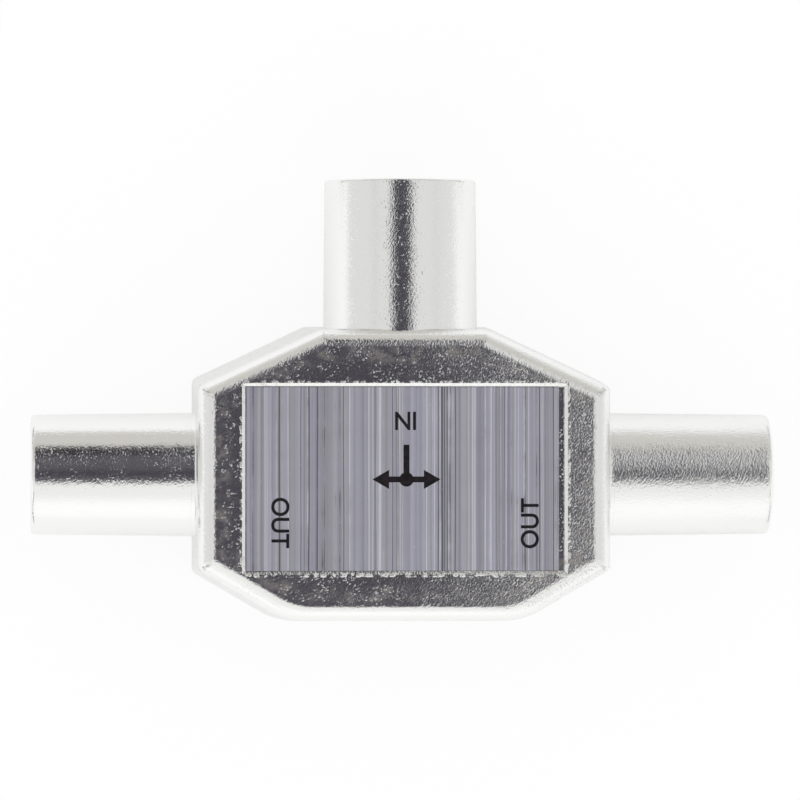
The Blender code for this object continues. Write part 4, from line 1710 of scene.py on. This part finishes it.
@dataclass(frozen=True)
class LightTent:
    """A white tent with a dark opening overhead, as bright metal shows it.

    Angles are in degrees: from straight up towards +X (across) and towards +Y (ahead), and for
    the screens on the diagonals a direction's turn away from Y (sector) and its rise (height).
    """

    edge: float = 1.4
    opening_across: Span = (-15.2, 14.6)
    opening_ahead: Span = (-14.0, 55.5)
    narrowing: Step = (6.0, 20.0, 0.0, 6.5)
    near_band: Span = (-5.0, 8.0)
    far_band: Span = (37.0, 60.0)
    band_soft: float = 3.0
    panel_ahead: Span = (55.5, 95.0)
    panel_across: Span = (-62.0, 62.0)
    panel_drop: Step = (15.0, 27.0, 0.0, 24.0)
    panel_soft: float = 12.0
    screen_sector: Span = (42.0, 53.0)
    sector_soft: float = 2.5
    screen_height: Span = (10.0, 42.0)
    height_soft: float = 4.0
    near: Step = (-22.0, -12.0, 1.0, 0.0)
    far_low: Step = (-62.0, -36.0, 1.0, 0.0)
    far_high: Step = (93.0, 99.0, 0.0, 1.0)
    seams: tuple[float, ...] = (-101.0, -41.5, 53.0, 118.0)
    seam_half: float = 1.5
    cloth: Colour = (0.76, 0.76, 0.755)
    near_cloth: Colour = (0.90, 0.90, 0.885)
    lit_cloth: Colour = (1.07, 1.07, 1.065)
    seam: Colour = (0.60, 0.60, 0.60)
    opening: Colour = (0.094, 0.089, 0.104)
    near_dark: Colour = (0.061, 0.057, 0.070)
    far_dark: Colour = (0.034, 0.031, 0.038)
    panel: Colour = (0.63, 0.615, 0.58)
    screen: Colour = (0.34, 0.34, 0.345)
    plain: Colour = (1.0, 1.0, 1.0)

    def hung_cloth(self, graph: Graph, across: Wire, ahead: Wire) -> Wire:
        """The cloth, brighter at its ends, with its seams.

        Args:
            graph: The world's graph.
            across: A direction's angle towards +X.
            ahead: Its angle towards +Y.

        Returns:
            The wire of its colour.
        """
        cloth = graph.blend(graph.smooth(ahead, *self.near), self.cloth, self.near_cloth)
        far = graph.smooth(ahead, *self.far_low) + graph.smooth(ahead, *self.far_high)
        cloth = graph.blend(far, cloth, self.lit_cloth)
        half = self.seam_half
        for seam in self.seams:
            in_seam = graph.band(across, seam - half, seam + half, half)
            cloth = graph.blend(in_seam, cloth, self.seam)
        return cloth

    def in_panel(self, graph: Graph, across: Wire, ahead: Wire) -> Wire:
        """One within the grey panel beyond the opening, which hangs lower at its sides.

        Args:
            graph: The world's graph.
            across: A direction's angle towards +X.
            ahead: Its angle towards +Y.

        Returns:
            The wire of the share.
        """
        low, high = self.panel_ahead
        lowered = ahead + graph.smooth(across.size(), *self.panel_drop)
        inside = graph.smooth(lowered, low - self.edge, low + self.edge)
        inside = inside * graph.smooth(ahead, high - self.edge, high + self.edge, 1.0, 0.0)
        return inside * graph.band(across, *self.panel_across, self.panel_soft)

    def in_screen(self, graph: Graph, x: Wire, y: Wire, z: Wire) -> Wire:
        """One within the grey screens on the tent's four diagonals.

        Args:
            graph: The world's graph.
            x: A direction's part along +X.
            y: Its part along +Y.
            z: Its part along +Z.

        Returns:
            The wire of the share.
        """
        rise = (z * math.sqrt(2.0)).angle(x.size() + y.size())
        inside = graph.band(x.size().angle(y.size()), *self.screen_sector, self.sector_soft)
        return inside * graph.band(rise, *self.screen_height, self.height_soft)

    def in_opening(self, graph: Graph, across: Wire, ahead: Wire) -> Wire:
        """One within the dark opening, whose right side narrows ahead.

        Args:
            graph: The world's graph.
            across: A direction's angle towards +X.
            ahead: Its angle towards +Y.

        Returns:
            The wire of the share.
        """
        left, right = self.opening_across
        narrower = across + graph.smooth(ahead, *self.narrowing)
        inside = graph.smooth(across, left - self.edge, left + self.edge)
        inside = inside * graph.smooth(narrower, right - self.edge, right + self.edge, 1.0, 0.0)
        return inside * graph.band(ahead, *self.opening_ahead, self.edge)

    def hang(self) -> None:
        """Makes the world. Only mirror-like reflections see the tent's greys."""
        world = bpy.data.worlds.new("light_tent")
        world.use_nodes = True
        world.cycles.sampling_method = "NONE"
        bpy.context.scene.world = world
        graph = Graph(world.node_tree)
        x, y, z = graph.split(graph.node("ShaderNodeTexCoord", output="Generated"))
        across, ahead = x.angle(z), y.angle(z)
        seen = self.hung_cloth(graph, across, ahead)
        seen = graph.blend(self.in_panel(graph, across, ahead), seen, self.panel)
        seen = graph.blend(self.in_screen(graph, x, y, z), seen, self.screen)
        near = graph.band(ahead, *self.near_band, self.band_soft)
        far = graph.band(ahead, *self.far_band, self.band_soft)
        dark = graph.blend(far, graph.blend(near, self.opening, self.near_dark), self.far_dark)
        seen = graph.blend(self.in_opening(graph, across, ahead), seen, dark)
        glossy = graph.node("ShaderNodeLightPath", output=Ray.GLOSSY.value)
        light = graph.blend(glossy, self.plain, seen)
        shader = graph.node("ShaderNodeBackground", inputs={"Color": light, "Strength": 1.0})
        graph.node_end("ShaderNodeOutputWorld", shader)


@dataclass(frozen=True)
class Floor:
    """The pale table, lit from within. It isn't seen from below."""

    half_size: float = 0.6
    gap: float = 0.02 * MM
    colour: Colour = (1.0, 1.0, 1.0)
    card: Colour = (0.36, 0.36, 0.365)
    card_sector: Span = (43.0, 63.0)
    card_soft: float = 4.0
    card_reach: Step = (46.0 * MM, 54.0 * MM, 0.0, 1.0)
    shadow: float = 0.12
    mirrored_shadow: float = 0.55

    def lay(self) -> None:
        """Makes the table top. A part of its light is matt and takes the shadow.

        Reflections see more of the shadow, and grey cards out on the table's diagonals.
        """
        bpy.ops.mesh.primitive_plane_add(size=2 * self.half_size, location=(0.0, 0.0, -self.gap))
        floor = bpy.context.object
        floor.name = "table_top"
        material, graph = new_material("pale_table")
        camera = graph.node("ShaderNodeLightPath", output=Ray.CAMERA.value)
        glossy = graph.node("ShaderNodeLightPath", output=Ray.GLOSSY.value)
        x, y, _ = graph.split(graph.place())
        across, ahead = x.size(), y.size()
        on_card = graph.band(across.angle(ahead), *self.card_sector, self.card_soft)
        reach = (across + ahead) * math.sqrt(0.5)
        on_card = on_card * graph.smooth(reach, *self.card_reach)
        colour = graph.blend(on_card * glossy, self.colour, self.card)
        matt = graph.node("ShaderNodeBsdfDiffuse", inputs={"Color": colour})
        white = graph.node("ShaderNodeEmission", inputs={"Color": colour, "Strength": 1.0})
        bright = camera * (1.0 - self.shadow) + glossy * (1.0 - self.mirrored_shadow)
        seen = graph.node("ShaderNodeMixShader", inputs={0: bright, 1: matt, 2: white})
        clear = graph.node("ShaderNodeBsdfTransparent")
        behind = graph.node("ShaderNodeNewGeometry", output="Backfacing")
        both = graph.node("ShaderNodeMixShader", inputs={0: behind, 1: seen, 2: clear})
        graph.node_end("ShaderNodeOutputMaterial", both)
        floor.data.materials.append(material)


@dataclass(frozen=True)
class Camera:
    """A long lens high over the label, a little towards the left plug."""

    eye: tuple[float, float, float] = (-29.3 * MM, 2.9 * MM, 506.0 * MM)
    target: tuple[float, float, float] = (0.0, 5.87 * MM, 7.0 * MM)
    lens: float = 285.1
    sensor: float = 36.0
    seen_from: float = 0.01
    seen_to: float = 10.0

    def stand(self) -> None:
        """Makes the camera, with +Y up in its picture."""
        data = bpy.data.cameras.new("long_lens")
        data.lens = self.lens
        data.sensor_width = self.sensor
        data.clip_start = self.seen_from
        data.clip_end = self.seen_to
        camera = bpy.data.objects.new("long_lens", data)
        bpy.context.scene.collection.objects.link(camera)
        back = (Vector(self.eye) - Vector(self.target)).normalized()
        right = Vector((0.0, 1.0, 0.0)).cross(back).normalized()
        turn = Matrix((right, back.cross(right), back)).transposed().to_4x4()
        camera.matrix_world = Matrix.Translation(self.eye) @ turn
        bpy.context.scene.camera = camera


def set_colours() -> None:
    """Shows colours as they are written."""
    bpy.context.scene.view_settings.view_transform = "Standard"


def main() -> None:
    """Builds every piece, the studio and the camera."""
    logging.basicConfig(level=logging.INFO, format="%(message)s")
    set_colours()
    LightTent().hang()
    Floor().lay()
    Camera().stand()

    socket, *plugs = splitter_sleeves()
    Casting().build(CastNickel().material())
    BackCover().build(RolledSheet().material())
    Label().build(BrushedPlate().material(), INK.material())

    moulded = MOULDED_WHITE.material()
    Insulator(socket, hub=2.7 * MM).build(moulded)
    metal = TurnedMetal().material()
    SlottedContact(socket, radius=1.9 * MM, recess=0.9 * MM).build(metal)
    for plug in plugs:
        Insulator(plug, hub=2.1 * MM).build(moulded)
        PlugPin(plug, radius=1.18 * MM, recess=0.4 * MM).build(metal)
    Circuit().dress()


if __name__ == "__main__":
    main()
